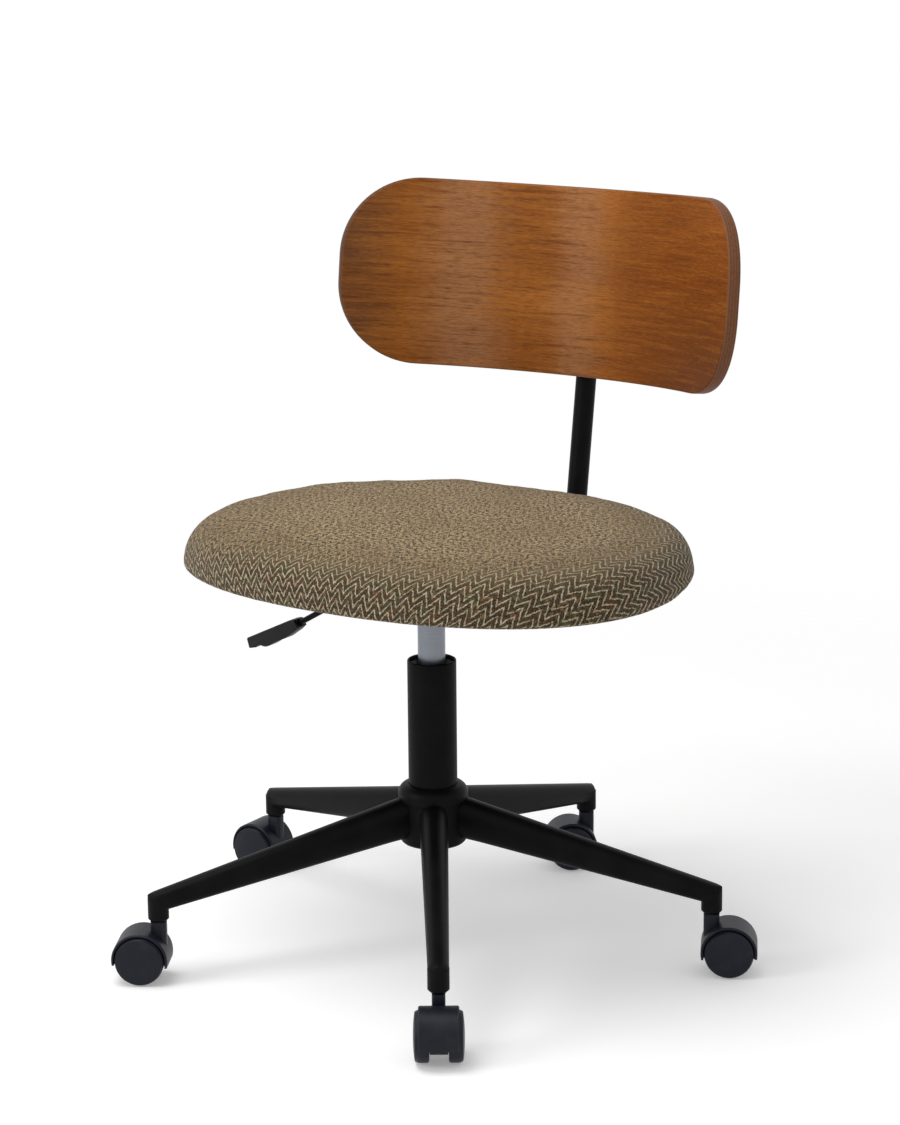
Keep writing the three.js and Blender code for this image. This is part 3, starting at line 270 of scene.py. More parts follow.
# %% [markdown]
# ## Stage
#
# The camera stands where the photographer stood: the view was worked out from the five
# casters, which lie on a circle. A long lens from three metres keeps the legs nearly
# parallel, and a small shift of the lens places the chair in the picture as it was.

# %% Camera
TURN = math.radians(33.4)
PITCH = math.radians(13.86)
ROLL = math.radians(-0.62)
DISTANCE = 3.0763
HEIGHT = 1.1748
PICTURE = 900, 1125
FOCAL_PIXELS = 3151.4
AIM_PIXEL = 430.55, 553.4

forward = Vector((-math.sin(TURN), math.cos(TURN), 0)) * math.cos(PITCH)
forward.z = -math.sin(PITCH)
level = Vector((math.cos(TURN), math.sin(TURN), 0))
upright = level.cross(forward)
right = level * math.cos(ROLL) + upright * math.sin(ROLL)
up = upright * math.cos(ROLL) - level * math.sin(ROLL)

lens = bpy.data.cameras.new("camera")
lens.sensor_width = 36.0
lens.lens = lens.sensor_width * FOCAL_PIXELS / PICTURE[1]
lens.shift_x = (PICTURE[0] / 2 - AIM_PIXEL[0]) / PICTURE[1]
lens.shift_y = (AIM_PIXEL[1] - PICTURE[1] / 2) / PICTURE[1]
camera = in_scene("camera", lens)
stand = AXIS + Vector((math.sin(TURN), -math.cos(TURN), 0)) * DISTANCE + Vector((0, 0, HEIGHT))
turn = Matrix((right, up, -forward)).transposed().to_4x4()
camera.matrix_world = Matrix.Translation(stand) @ turn
bpy.context.scene.camera = camera
print("camera at", tuple(round(value, 3) for value in stand), "lens", round(lens.lens, 1), "mm")

# %% [markdown]
# The floor is a wide disc of pale paper that fades out far from the chair. A studio would
# hang a paper roll for this; a disc is simpler, shows no edge and still keeps the soft
# shadow under the chair. A faint glow of its own holds it near white without more lamps.


# %% Floor
def pale_ground():
    ground = Finish("floor_paper", Specular_IOR_Level=0.1, Emission_Strength=0.24)
    ground.shader.inputs["Emission Color"].default_value = (1, 1, 1, 1)
    point = ground.place()
    cloud = ground.noise(point, 3.0, 2.0)
    away = ground.add("VectorMath", {"operation": "LENGTH"}, {0: point}, output=1)
    ground.plug(ground.shader.inputs["Alpha"], 1.0 - away.ramp(0.7, 1.7))
    return ground.wear(ground.mix(cloud, (0.9, 0.9, 0.9, 1), (0.93, 0.93, 0.93, 1)), 0.9)


shape = bmesh.new()
bmesh.ops.create_circle(shape, cap_ends=True, radius=6.0, segments=64)
floor = from_shape("floor", shape)
floor.data.materials.append(pale_ground())
floor.location.z = -0.0005
print("floor", round(floor.dimensions.x, 1), "m across")

# %% [markdown]
# The world is plain white where it is seen or mirrored, so steel shows the same background
# as the camera does. As a light it is dimmer, or every pale surface would clip. Light Path
# tells which kind of ray asks.

# %% World
world = bpy.data.worlds.new("studio")
world.use_nodes = True
bpy.context.scene.world = world
tree = world.node_tree
rays = tree.nodes.new("ShaderNodeLightPath")
seen = tree.nodes["Background"]
lit = tree.nodes.new("ShaderNodeBackground")
for background, strength in ((seen, 1.0), (lit, 0.55)):
    background.inputs["Color"].default_value = (1, 1, 1, 1)
    background.inputs["Strength"].default_value = strength
direct = rays.outputs["Is Camera Ray"]
for kind in ("Is Glossy Ray", "Is Transmission Ray"):
    either = tree.nodes.new("ShaderNodeMath")
    either.operation = "MAXIMUM"
    tree.links.new(direct, either.inputs[0])
    tree.links.new(rays.outputs[kind], either.inputs[1])
    direct = either.outputs[0]
choice = tree.nodes.new("ShaderNodeMixShader")
for socket, output in enumerate((direct, lit.outputs[0], seen.outputs[0])):
    tree.links.new(output, choice.inputs[socket])
tree.links.new(choice.outputs[0], tree.nodes["World Output"].inputs["Surface"])
print("world ready with", len(tree.nodes), "nodes")

# %% [markdown]
# Two wide discs of light stand above and to the front left. A light tent would be as even,
# but two lamps leave a direction in the shading, which shows how round a leg is.


# %% Lamps
def lamp(name, place, target, size, power):
    light = bpy.data.lights.new(name, "AREA")
    light.shape = "DISK"
    light.size = size
    light.energy = power
    source = in_scene(name, light)
    aim = (Vector(target) - Vector(place)).to_track_quat("-Z", "Y")
    source.matrix_world = Matrix.Translation(Vector(place)) @ aim.to_matrix().to_4x4()


middle = (0, 0, 0.4)
lamp("lamp_above", (-0.6, -0.6, 2.6), middle, 1.6, 28)
lamp("lamp_left", (-1.6, -2.4, 1.5), middle, 1.2, 22)
bpy.context.scene.view_settings.view_transform = "Standard"
print("stage ready with", len(bpy.data.lights), "lamps")

# %% [markdown]
# ## Tools for the pieces
#
# No real edge is quite sharp: a pressed or moulded edge has a small radius that catches
# the light. A Bevel modifier could add it to a whole piece. The operator is used instead,
# because it takes just the edges that are sharper than a given angle.


# %% Sharp edges and their radius
def sharp_edges(shape, degrees):
    limit = math.radians(degrees)
    return [e for e in shape.edges if e.is_manifold and e.calc_face_angle(0) > limit]


def ease(shape, edges, radius, segments=2):
    bmesh.ops.bevel(
        shape,
        geom=edges,
        offset=radius,
        offset_type="OFFSET",
        affect="EDGES",
        segments=segments,
        profile=0.5,
        material=-1,
        clamp_overlap=True,
    )


# %% [markdown]
# A turned part is a line of points that is spun about an axis, as it is on a lathe. A
# closed line gives a part with a bore, and an open one that starts and ends on the axis
# gives a solid one. The points on the axis meet in one, so the doubles are merged.


# %% Spin
def merge(shape):
    bmesh.ops.remove_doubles(shape, verts=shape.verts[:], dist=1e-6)


def outward(shape):
    bmesh.ops.recalc_face_normals(shape, faces=shape.faces[:])


def spun(profile, sides, closed=False):
    """Spins [radius, height] points, in millimetres, about Z."""
    shape = bmesh.new()
    points = [shape.verts.new((radius * MM, 0, height * MM)) for radius, height in profile]
    for first, second in zip(points, points[1:]):
        shape.edges.new((first, second))
    if closed:
        shape.edges.new((points[-1], points[0]))
    bmesh.ops.spin(
        shape,
        geom=shape.verts[:] + shape.edges[:],
        cent=(0, 0, 0),
        axis=(0, 0, 1),
        angle=2 * math.pi,
        steps=sides,
        use_merge=True,
    )
    merge(shape)
    outward(shape)
    return shape


# %% [markdown]
# Each finished mesh becomes an object at the origin, with its place in its mesh. It rides
# on the body that its solid is on, so it moves with the joints, and is shown in place of
# that solid.


# %% A finished piece
def piece(name, shape, material, body, replaced, smooth=40):
    """Makes a mesh the shown object of a node or of several."""
    made = from_shape(name, shape)
    mesh = made.data
    for finish in material if isinstance(material, (list, tuple)) else [material]:
        mesh.materials.append(finish)
    mesh.shade_smooth()
    mesh.set_sharp_from_angle(angle=math.radians(smooth))
    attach(made, body)
    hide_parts(*replaced)
    print(name, len(mesh.polygons), "faces")
    return made


# %% [markdown]
# Welded and moulded parts are simple shapes run together, with holes. Bmesh has no
# boolean operator, so two shapes become objects for a moment, a Boolean modifier joins or
# cuts them, and the result comes back as a bmesh.


# %% Boxes, joins and cuts
def moved(shape, matrix):
    bmesh.ops.transform(shape, matrix=matrix, verts=shape.verts[:])
    return shape


def rounded_box(low, high, corner, segments=6, direction=2):
    """A box, in millimetres, with four rounded edges along one direction."""
    shape = bmesh.new()
    bmesh.ops.create_cube(shape, size=1.0)
    size = (Vector(high) - Vector(low)) * MM
    middle = (Vector(high) + Vector(low)) / 2 * MM
    moved(shape, Matrix.Translation(middle) @ Matrix.Diagonal((*size, 1)))
    along = [e for e in shape.edges if abs((e.verts[0].co - e.verts[1].co)[direction]) > 1e-6]
    ease(shape, along, corner * MM, segments)
    return shape


def combined(first, second, operation="UNION"):
    """Joins one solid with another, or cuts the second out of the first."""
    whole, tool = from_shape("whole", first), from_shape("tool", second)
    cut = whole.modifiers.new("cut", "BOOLEAN")
    cut.operation = operation
    cut.object = tool
    cut.solver = "EXACT"
    bpy.context.view_layer.update()
    result = whole.evaluated_get(bpy.context.evaluated_depsgraph_get())
    shape = bmesh.new()
    shape.from_mesh(result.to_mesh())
    for part in (whole, tool):
        mesh = part.data
        bpy.data.objects.remove(part)
        bpy.data.meshes.remove(mesh)
    merge(shape)
    return shape


# %% [markdown]
# Some solids already have the real part's form. A copy of such a solid is merged, because
# its mesh is loose triangles, and flat areas become single faces again. Then its sharp
# edges can be eased like any other's.


# %% A copy of a solid
def node_copy(name, radius):
    """A copy of a node's solid with its corners merged and its sharp edges eased."""
    shape = bmesh.new()
    shape.from_mesh(nodes[name].data)
    merge(shape)
    bmesh.ops.dissolve_limit(
        shape,
        angle_limit=math.radians(1.0),
        verts=shape.verts[:],
        edges=shape.edges[:],
    )
    if radius:
        ease(shape, sharp_edges(shape, 40), radius * MM)
    return shape


# %% [markdown]
# ## Base
#
# The hub is a turned steel boss with a rounded collar on top, and the lift column stands
# in it. Both are spun. The column's rim is rolled, with a dark guide sleeve inside it and
# the ground cylinder in the sleeve.

# %% Hub and column
def on_column(shape):
    return moved(shape, Matrix.Translation(AXIS))


BORE = 25.3
dome = [(BORE + 10.7 * math.cos(t), 163.9 + 11.0 * math.sin(t)) for t in np.linspace(0, 1.45, 10)]
boss = [(BORE, 112.4), (31.5, 112.4), (33.5, 114.4), (33.5, 156.8), (34.3, 157.4), (36, 158.4)]
hub = on_column(spun([*boss, *dome, (BORE, 174.9)], 72, closed=True))
piece("hub", hub, black_coat, "base", ["base_hub"])

rim = [(25, 304.2), (24.6, 305.1), (24, 305.4), (23.4, 305.1), (23, 304.4)]
wall = [(6.5, 114.4), (25, 114.4), *rim, (23, 117.9), (6.5, 117.9)]
tube = on_column(spun(wall, 72, closed=True))
piece("column", tube, black_coat, "base", ["column_tube"])

sleeve_line = [(14.3, 231.4), (22.7, 231.4), (22.7, 301.8), (22.2, 302.4), (18.6, 302.4)]
sleeve = on_column(spun([*sleeve_line, (14.3, 297.4)], 64, closed=True))
piece("sleeve", sleeve, sleeve_plastic, "base", ["guide_sleeve"])

outside = [(5.3, 162.4), (13, 162.4), (14, 163.4), (14, 346.9), (13.2, 372.3), (12.6, 372.9)]
inside = [(3.3, 372.9), (3.3, 360.9), (12.3, 360.9), (12.3, 177.4), (5.3, 177.4)]
cylinder = on_column(spun([*outside, *inside], 64, closed=True))
piece("cylinder", cylinder, cylinder_steel, "seat", ["gas_cylinder"])

# %% [markdown]
# A leg is an oval tube that tapers in width and height from the hub to its tip, where it
# ends round over an upright socket. It starts as one ring of points. The ring is shaped
# into the oval, extruded station by station and sized at each one. The last stations
# close in along a half circle, so the tip is round when seen from above. A loft between
# two ovals would be quicker, but would leave that tip flat.


# %% Growing an edge
def edges_of(parts):
    return [part for part in parts if isinstance(part, bmesh.types.BMEdge)]


def extruded(shape, edges):
    """Extrudes edges, and gives the new points and the new edges."""
    parts = bmesh.ops.extrude_edge_only(shape, edges=edges)["geom"]
    return [part for part in parts if isinstance(part, bmesh.types.BMVert)], edges_of(parts)


# %% [markdown]
# The five legs are equal and 72 degrees apart. They run from the hub to the casters'
# stems, and their sizes are given at the root and at the tip.

# %% Legs
LEG_AZIMUTHS = {"front_left": 34, "left": 106, "rear": 178, "right": 250, "front_right": 322}
STEMS = 292.0
TIP = 10.6
LEG_ROOT = 25.5
LEG_WIDTHS = 29.5, 20.2
LEG_HEIGHTS = 43.8, 20.6
LEG_CENTRES = 142, 80.8
BOSS_RADIUS = 33.8
COLLAR_RADIUS = 36.3
COLLAR_FOOT = 157.1


def towards(azimuth):
    """A turn about the column that takes -Y to an azimuth."""
    return Matrix.Translation(AXIS) @ Matrix.Rotation(math.radians(azimuth), 4, "Z")


def oval_point(turn):
    """A point on an oval that is a little squarer than an ellipse."""
    x, z = math.cos(turn), math.sin(turn)
    power = 2 / 2.4
    return math.copysign(abs(x) ** power, x), math.copysign(abs(z) ** power, z)


def leg_ring(ring, reach, width_share=1.0):
    """Gives a ring of points the leg's oval at a distance from the column."""
    share = (reach - LEG_ROOT) / (STEMS + TIP - LEG_ROOT)
    width, height, centre = (
        root + (tip - root) * share for root, tip in (LEG_WIDTHS, LEG_HEIGHTS, LEG_CENTRES)
    )
    for number, vert in enumerate(ring):
        x, z = oval_point(2 * math.pi * number / len(ring))
        vert.co = Vector((x * width / 2 * width_share, -reach, centre + z * height / 2)) * MM


# %% [markdown]
# The root of the leg is cut to the round of the hub, where it is welded on. Both ends are
# closed with one face each, and the socket for the caster's stem is a spun pin that is
# joined to the tip and then bored.


# %% One leg, five times
def leg_shape():
    shape = bmesh.new()
    ring = bmesh.ops.create_circle(shape, cap_ends=False, radius=1.0, segments=40)["verts"]
    leg_ring(ring, 36.0)
    for vert in ring:
        radius = BOSS_RADIUS if vert.co.z < COLLAR_FOOT * MM else COLLAR_RADIUS
        vert.co.y = -math.sqrt(radius**2 - (vert.co.x / MM) ** 2) * MM
    stations = [(reach, 1.0) for reach in np.linspace(50, STEMS, 12)]
    stations += [
        (STEMS + TIP * math.sin(t), max(math.cos(t), 0.02)) for t in np.linspace(0.2, 1.57, 9)
    ]
    edges = shape.edges[:]
    for reach, width_share in stations:
        ring, edges = extruded(shape, edges)
        leg_ring(ring, reach, width_share)
    bmesh.ops.contextual_create(shape, geom=edges)
    loop = [e for e in shape.edges if e.is_boundary]
    bmesh.ops.contextual_create(shape, geom=loop)
    outward(shape)
    socket = spun([(0, 62.4), (7.6, 62.4), (TIP, 65.4), (TIP, 86), (0, 86)], 40)
    moved(socket, Matrix.Translation((0, -STEMS * MM, 0)))
    whole = combined(shape, socket)
    hole = spun([(0, 61), (5.8, 61), (5.8, 84.4), (0, 84.4)], 24)
    moved(hole, Matrix.Translation((0, -STEMS * MM, 0)))
    return combined(whole, hole, "DIFFERENCE")


pattern = leg_shape()
for name, azimuth in LEG_AZIMUTHS.items():
    leg = moved(pattern.copy(), towards(azimuth))
    piece(f"{name}_tube", leg, black_coat, "base", [f"{name}_leg"])
pattern.free()

# %% [markdown]
# ## Casters
#
# A caster has a stem, a hood with a middle web, and two wheels on one axle. It is made
# once, about its own stem, and copied. The hood's band is a strip's section spun part of
# the way round the axle; the web is a disc cut off at the back, and the neck is a box.

# %% Hood
AXLE = Vector((0, -18, 25)) * MM
HOOD_START = math.radians(-14)
HOOD_SWEEP = math.radians(204)


def about_axle(shape):
    """Turns a shape made about Z to lie along the axle."""
    return moved(shape, Matrix.Translation(AXLE) @ Matrix.Rotation(math.pi / 2, 4, "Y"))


def hood_shape():
    shape = bmesh.new()
    half = [(26.2, 19.5), (27.4, 19.5), (28.5, 18.2)]
    points = []
    for radius, along in half + [(radius, -along) for radius, along in reversed(half)]:
        y, z = radius * math.cos(HOOD_START), radius * math.sin(HOOD_START)
        points.append(shape.verts.new((along * MM, y * MM, z * MM)))
    face = shape.faces.new(points)
    bmesh.ops.spin(
        shape,
        geom=[face],
        cent=(0, 0, 0),
        axis=(1, 0, 0),
        angle=HOOD_SWEEP,
        steps=48,
    )
    outward(shape)
    moved(shape, Matrix.Translation(AXLE))
    web = spun([(0, -8.7), (27, -8.7), (27, 8.7), (0, 8.7)], 64)
    ends = bmesh.ops.bisect_plane(
        web,
        geom=web.verts[:] + web.edges[:] + web.faces[:],
        plane_co=(8 * MM, 0, 0),
        plane_no=(1, 0, 0),
        clear_outer=True,
    )
    bmesh.ops.contextual_create(web, geom=edges_of(ends["geom_cut"]))
    about_axle(web)
    neck = rounded_box((-6.5, -8, 37), (6.5, 8, 62.1), 4.3, 6)
    whole = combined(combined(shape, web), neck)
    hole = spun([(0, 38.7), (4.3, 38.7), (4.3, 64), (0, 64)], 24)
    whole = combined(whole, hole, "DIFFERENCE")
    axle_hole = about_axle(spun([(0, -12), (4.3, -12), (4.3, 12), (0, 12)], 24))
    return combined(whole, axle_hole, "DIFFERENCE")


hood = hood_shape()
print("hood has", len(hood.faces), "faces")

# %% [markdown]
# A wheel is turned in one piece: a rounded tread edge, a groove, a domed outer face and a
# blind bore for the axle. Twin wheels let a caster swivel with little scrub. The stem has
# the groove that its spring ring snaps into, and both steel parts have chamfered ends.


# %% Wheels, stem and axle
def wheel_shape(side):
    bore = [(0, 21), (4.3, 21), (4.3, 9.2), (22.6, 9.2)]
    tread = [(24.2, 9.8), (24.9, 11.2), (24.9, 18.6), (24.6, 20.2), (24.0, 21.4)]
    crown = [(24.9 * math.cos(t), 21.8 + 2.7 * math.sin(t)) for t in np.linspace(0.35, 1.5, 9)]
    shape = spun([*bore, *tread, *crown, (0, 24.5)], 72)
    moved(shape, Matrix.Rotation(side * math.pi / 2, 4, "Y"))
    moved(shape, Matrix.Translation(AXLE))
    outward(shape)
    return shape


stem_foot = [(0, 39), (3.6, 39), (4, 39.5), (4, 62.4), (5.5, 62.4), (5.5, 74.6), (4.8, 75)]
stem = spun([*stem_foot, (4.8, 78.2), (5.5, 78.6), (5.5, 82.6), (4, 84.1), (0, 84.1)], 32)
axle = spun([(0, -20.7), (3.6, -20.7), (4, -20.3), (4, 20.3), (3.6, 20.7), (0, 20.7)], 32)
about_axle(axle)
wheels = {"a": wheel_shape(1), "b": wheel_shape(-1)}
print("wheel has", len(wheels["a"].faces), "faces")

# %% [markdown]
# A caster trails behind its stem, so each one on a chair that was rolled stands at another
# angle. The five angles are those of the photograph, and the joints turn the casters on
# from there.

# %% Place the casters
TRAILS = {"front_left": 33, "left": 117.4, "rear": 307.4, "right": 269.8, "front_right": 298.4}
parts = {
    "stem": (stem, zinc_steel, "caster", "caster_stem", "zinc_steel", 40),
    "axle": (axle, zinc_steel, "caster", "caster_axle", "zinc_steel", 40),
    "hood": (hood, caster_nylon, "caster", "caster_hood", "black_plastic", 32),
}
for side, wheel in wheels.items():
    body, node = f"wheel_{side}", f"caster_wheel_{side}"
    parts[f"tread_{side}"] = (wheel, caster_nylon, body, node, "black_plastic", 40)

for name, azimuth in LEG_AZIMUTHS.items():
    socket = towards(azimuth) @ Vector((0, -STEMS * MM, 0))
    place = Matrix.Translation(socket) @ Matrix.Rotation(math.radians(TRAILS[name]), 4, "Z")
    for part, (shape, finish, body, node, slot, smooth) in parts.items():
        made = moved(shape.copy(), place)
        piece(f"{name}_{part}", made, finish, f"{name}_{body}", [f"{name}_{node}"], smooth)

# %% [markdown]
# ## Seat
#
# The seat is a foam pad on a board, and its cover is one flat sheet of tweed that is
# pulled over the edge and stapled below. The pad could be sculpted. It is spun instead,
# from a line with a crowned top and drawn-in lower sides, and then squared off a little
# and narrowed to the back, so that its plan is the measured one.

# %% Seat measures
HALF_WIDTH = 265.2
HALF_DEPTH = 213.4
SEAT_MIDDLE = AXIS + Vector((0, 25.1, 0)) * MM
SQUARENESS = 2.24
TAPER = 0.081
UNDERSIDE = 392.9
WIDEST = 399.5
TOP_EDGE = 442.1
EDGE_INSET = 34.0
FOOT_INSET = 30.0
CROWN = 6.0
RECESS_RADIUS = HALF_WIDTH - FOOT_INSET - 8.7
RECESS_DEPTH = 12.3


def plan(point):
    """Squares a round plan off to the seat's own, narrower at the back, and places it."""
    radius = math.hypot(point.x, point.y)
    if radius > 1e-9:
        power = 2 / SQUARENESS
        x = math.copysign(abs(point.x / radius) ** power, point.x)
        y = math.copysign(abs(point.y / radius) ** power, point.y)
        backward = radius * y / (HALF_WIDTH * MM)
        point.x = radius * x * (1 - TAPER * backward)
        point.y = backward * HALF_DEPTH * MM
    point += SEAT_MIDDLE


def pad_line(wider, higher):
    """The pad's section from the recess for the board, round the side, to the crown."""
    ceiling = UNDERSIDE + RECESS_DEPTH
    line = [(0, ceiling), (RECESS_RADIUS, ceiling), (RECESS_RADIUS, UNDERSIDE)]
    for t in np.linspace(-math.pi / 2, math.pi / 2, 25):
        inset = FOOT_INSET if t < 0 else EDGE_INSET
        radius = HALF_WIDTH - inset * (1 - math.cos(t)) + wider
        rise = WIDEST - UNDERSIDE if t < 0 else TOP_EDGE - WIDEST + higher
        line.append((radius, WIDEST + rise * math.sin(t)))
    edge = HALF_WIDTH - EDGE_INSET + wider
    for share in np.linspace(0.95, 0, 20):
        line.append((edge * share, TOP_EDGE + higher + CROWN * (1 - share**2)))
    return line


# %% [markdown]
# Stretched cloth over foam is tight but never quite even. Blender's cloth gives that skin:
# the pad's sides and top swell under a light pressure, and each point's move is capped, so
# the size holds. Hand-placed dents would look placed.


# %% Swelling
def applied(made):
    """Turns an object's modifiers into its mesh."""
    bpy.context.view_layer.update()
    result = made.evaluated_get(bpy.context.evaluated_depsgraph_get())
    mesh = bpy.data.meshes.new_from_object(result)
    old = made.data
    made.modifiers.clear()
    made.data = mesh
    bpy.data.meshes.remove(old)


def coordinates(made):
    values = np.empty(len(made.data.vertices) * 3)
    made.data.vertices.foreach_get("co", values)
    return values.reshape(-1, 3)


def blown(made, pressure, cap, pinned, frames=20):
    """Lets cloth swell under pressure, with a limit to how far it goes."""
    start = coordinates(made)
    held = made.vertex_groups.new(name="held")
    held.add([int(i) for i in np.flatnonzero(pinned(start))], 1.0, "REPLACE")
    cloth = made.modifiers.new("swell", "CLOTH")
    cloth.settings.use_pressure = True
    cloth.settings.uniform_pressure_force = pressure
    cloth.settings.effector_weights.gravity = 0.0
    cloth.settings.vertex_group_mass = "held"
    cloth.settings.tension_stiffness = 25.0
    cloth.settings.compression_stiffness = 25.0
    cloth.point_cache.frame_start = 1
    cloth.point_cache.frame_end = frames
    for number in range(1, frames + 1):
        bpy.context.scene.frame_set(number)
    result = made.evaluated_get(bpy.context.evaluated_depsgraph_get())
    end = np.empty(len(result.data.vertices) * 3)
    result.data.vertices.foreach_get("co", end)
    move = end.reshape(-1, 3) - start
    length = np.linalg.norm(move, axis=1, keepdims=True)
    move *= np.minimum(1.0, cap / np.maximum(length, 1e-9))
    made.modifiers.clear()
    made.vertex_groups.clear()
    made.data.vertices.foreach_set("co", (start + move).ravel())
    bpy.context.scene.frame_set(1)
    print("the pad swelled by", round(float(length.max()) * 1000, 1), "mm at most")


# %% [markdown]
# The cloth needs even faces, so the spun pad is remeshed, which takes a little off it. It
# starts wider and higher by that much. After the swelling, slow waves of under a
# millimetre lie over the top, the front shoulder is let down to the photograph's, and the
# rim's tip at one side is raised a little, as it is there.

# %% The pad
LOST_WIDTH = 2.5
LOST_HEIGHT = 1.0
WAVE = 0.0009
SHOULDER_DROP = 0.0055
SHOULDER_START = 0.45
SHOULDER_WIDTH = 0.5
TIP_SIDE = np.array((0.835, 0.55))
TIP_RISE = 0.0045
TIP_START = 0.218
TIP_WIDTH = 0.032

shape = spun(pad_line(LOST_WIDTH, LOST_HEIGHT), 128)
for vert in shape.verts:
    plan(vert.co)
cushion = from_shape("cushion", shape)
remesh = cushion.modifiers.new("even", "REMESH")
remesh.mode = "VOXEL"
remesh.voxel_size = 0.006
applied(cushion)
blown(cushion, pressure=4.0, cap=0.003, pinned=lambda co: co[:, 2] < WIDEST * MM)
co = coordinates(cushion)
waves = np.sin(co[:, 0] * 23 + 1.1) * np.cos(co[:, 1] * 19 - 0.6)
waves += 0.6 * np.sin(co[:, 0] * 41 + co[:, 1] * 33)
level_share = np.clip((co[:, 2] - WIDEST * MM) / ((TOP_EDGE - WIDEST) * MM), 0, 1)
forward = (SEAT_MIDDLE.y - co[:, 1]) / (HALF_DEPTH * MM)
sloped = np.clip((forward - SHOULDER_START) / SHOULDER_WIDTH, 0, 1)
co[:, 2] += (WAVE * waves - SHOULDER_DROP * sloped**2) * level_share
reach = (co[:, :2] - np.array(SEAT_MIDDLE.xy)) @ TIP_SIDE
co[:, 2] += TIP_RISE * np.clip((reach - TIP_START) / TIP_WIDTH, 0, 1)
cushion.data.vertices.foreach_set("co", co.ravel())
smooth = cushion.modifiers.new("round", "SUBSURF")
smooth.levels = smooth.render_levels = 1
applied(cushion)
print("cushion has", len(cushion.data.polygons), "faces")


# %% [markdown]
# The tweed is laid flat in the cloth shop, so its pattern has to follow the sheet: over
# the top, round the edge and under. Each point of the pad gets the place on the flat
# sheet that would lie there, measured out from the middle along the surface. The zigzag
# rows run from side to side. Seen from the front they are even; round the corner the
# same rows turn into steps, as they do in the photograph.


# %% How far out and how far down
def plan_share(co):
    """How far out points lie in the seat's plan: 0 in the middle, 1 at the widest line."""
    y = co[:, 1] * HALF_WIDTH / HALF_DEPTH
    x = co[:, 0] / (1 - TAPER * y / (HALF_WIDTH * MM))
    power = SQUARENESS / 2
    circle_x = np.sign(x) * np.abs(x) ** power
    circle_y = np.sign(y) * np.abs(y) ** power
    turn = np.arctan2(circle_y, circle_x)
    oval_x, oval_y = np.abs(np.cos(turn)), np.abs(np.sin(turn))
    scale = np.hypot(oval_x ** (1 / power), oval_y ** (1 / power))
    return np.hypot(x, y) / scale / (HALF_WIDTH * MM)


def side_run():
    """The length of sheet from the top edge down to each angle of the pad's side."""
    steps = np.linspace(math.pi / 2, -math.pi / 2, 91)
    bend = np.where(steps < 0, WIDEST - UNDERSIDE, TOP_EDGE - WIDEST)
    draw = np.where(steps < 0, FOOT_INSET, EDGE_INSET)
    line = np.stack([draw * (np.cos(steps) - 1), bend * np.sin(steps)], 1)
    run = np.concatenate([[0], np.cumsum(np.linalg.norm(np.diff(line, axis=0), axis=1))])
    return steps, run * MM


# %% [markdown]
# On the top a point's distance from the middle stays as it is. Down the side the length of
# the side is added, and below, the way back in. The same sum says how far a point lies in
# from the widest line, which the tweed needs as well.


# %% The sheet's place on the pad
def sheet_place(made):
    """Lays the flat sheet on the pad, as a UV map in metres."""
    co = coordinates(made) - np.array(SEAT_MIDDLE)
    share = plan_share(co)
    steps, run = side_run()
    height = co[:, 2] / MM - WIDEST
    inset = np.where(height < 0, FOOT_INSET, EDGE_INSET) / HALF_WIDTH
    rise = np.where(height < 0, WIDEST - UNDERSIDE, TOP_EDGE - WIDEST)
    out = np.clip((share - (1 - inset)) / inset, 0, 1)
    angle = np.arctan2(height / rise, np.maximum(out, 1e-6))
    plan_radius = np.hypot(co[:, 0], co[:, 1])
    whole_radius = plan_radius / np.maximum(share, 1e-6)
    edge_radius = whole_radius * (1 - EDGE_INSET / HALF_WIDTH)
    foot_radius = whole_radius * (1 - FOOT_INSET / HALF_WIDTH)
    inside = share < 1 - inset
    length = edge_radius + np.interp(-angle, -steps, run)
    length = np.where(inside & (height > 0), plan_radius, length)
    back_in = edge_radius + run[-1] + foot_radius - plan_radius
    length = np.where(inside & (height <= 0), back_in, length)
    flat = co[:, :2] * (length / np.maximum(plan_radius, 1e-6))[:, None]
    layer = made.data.uv_layers.new(name="sheet")
    corner = np.empty(len(made.data.loops), dtype=np.int32)
    made.data.loops.foreach_get("vertex_index", corner)
    layer.data.foreach_set("uv", flat[corner].astype(np.float32).ravel())
    widest = edge_radius + np.interp(0.0, -steps, run)
    inward = made.data.attributes.new("inward", "FLOAT", "POINT")
    inward.data.foreach_set("value", (widest - length).astype(np.float32))
    print("the sheet reaches", round(float(np.abs(flat).max()), 3), "m from the middle")


sheet_place(cushion)

# %% [markdown]
# The zigzag is a sum. One coordinate gives a triangle wave, the wave lifts the other
# coordinate, and what is left after whole rows says how far a point is from its cream
# line. An image of the cloth would repeat; a sum doesn't. Noise shakes both coordinates
# first, as loose yarn does.


# %% Zigzag
ZIGZAG_PERIOD = 0.0157
ZIGZAG_SWING = 0.0140
ZIGZAG_ROW = 0.0105


def zigzag(cloth, flat):
    """The shaken coordinates, and how far points lie from their cream line, 0 to 1."""
    along, across, _ = cloth.split(flat)
    for scale, reach in ((16.0, 0.009), (120.0, 0.0035), (420.0, 0.0022)):
        sockets = {"Vector": flat, "Scale": scale, "Detail": 2.0}
        first, second, _ = cloth.split(cloth.add("TexNoise", {}, sockets, output=1))
        along = along + (first - 0.5) * reach
        across = across + (second - 0.5) * reach
    wave = abs((along / ZIGZAG_PERIOD).part() - 0.5) * 2.0
    rows = ((across - wave * ZIGZAG_SWING) / ZIGZAG_ROW + 40.0).part()
    return along, across, abs(rows - 0.5) * 2.0


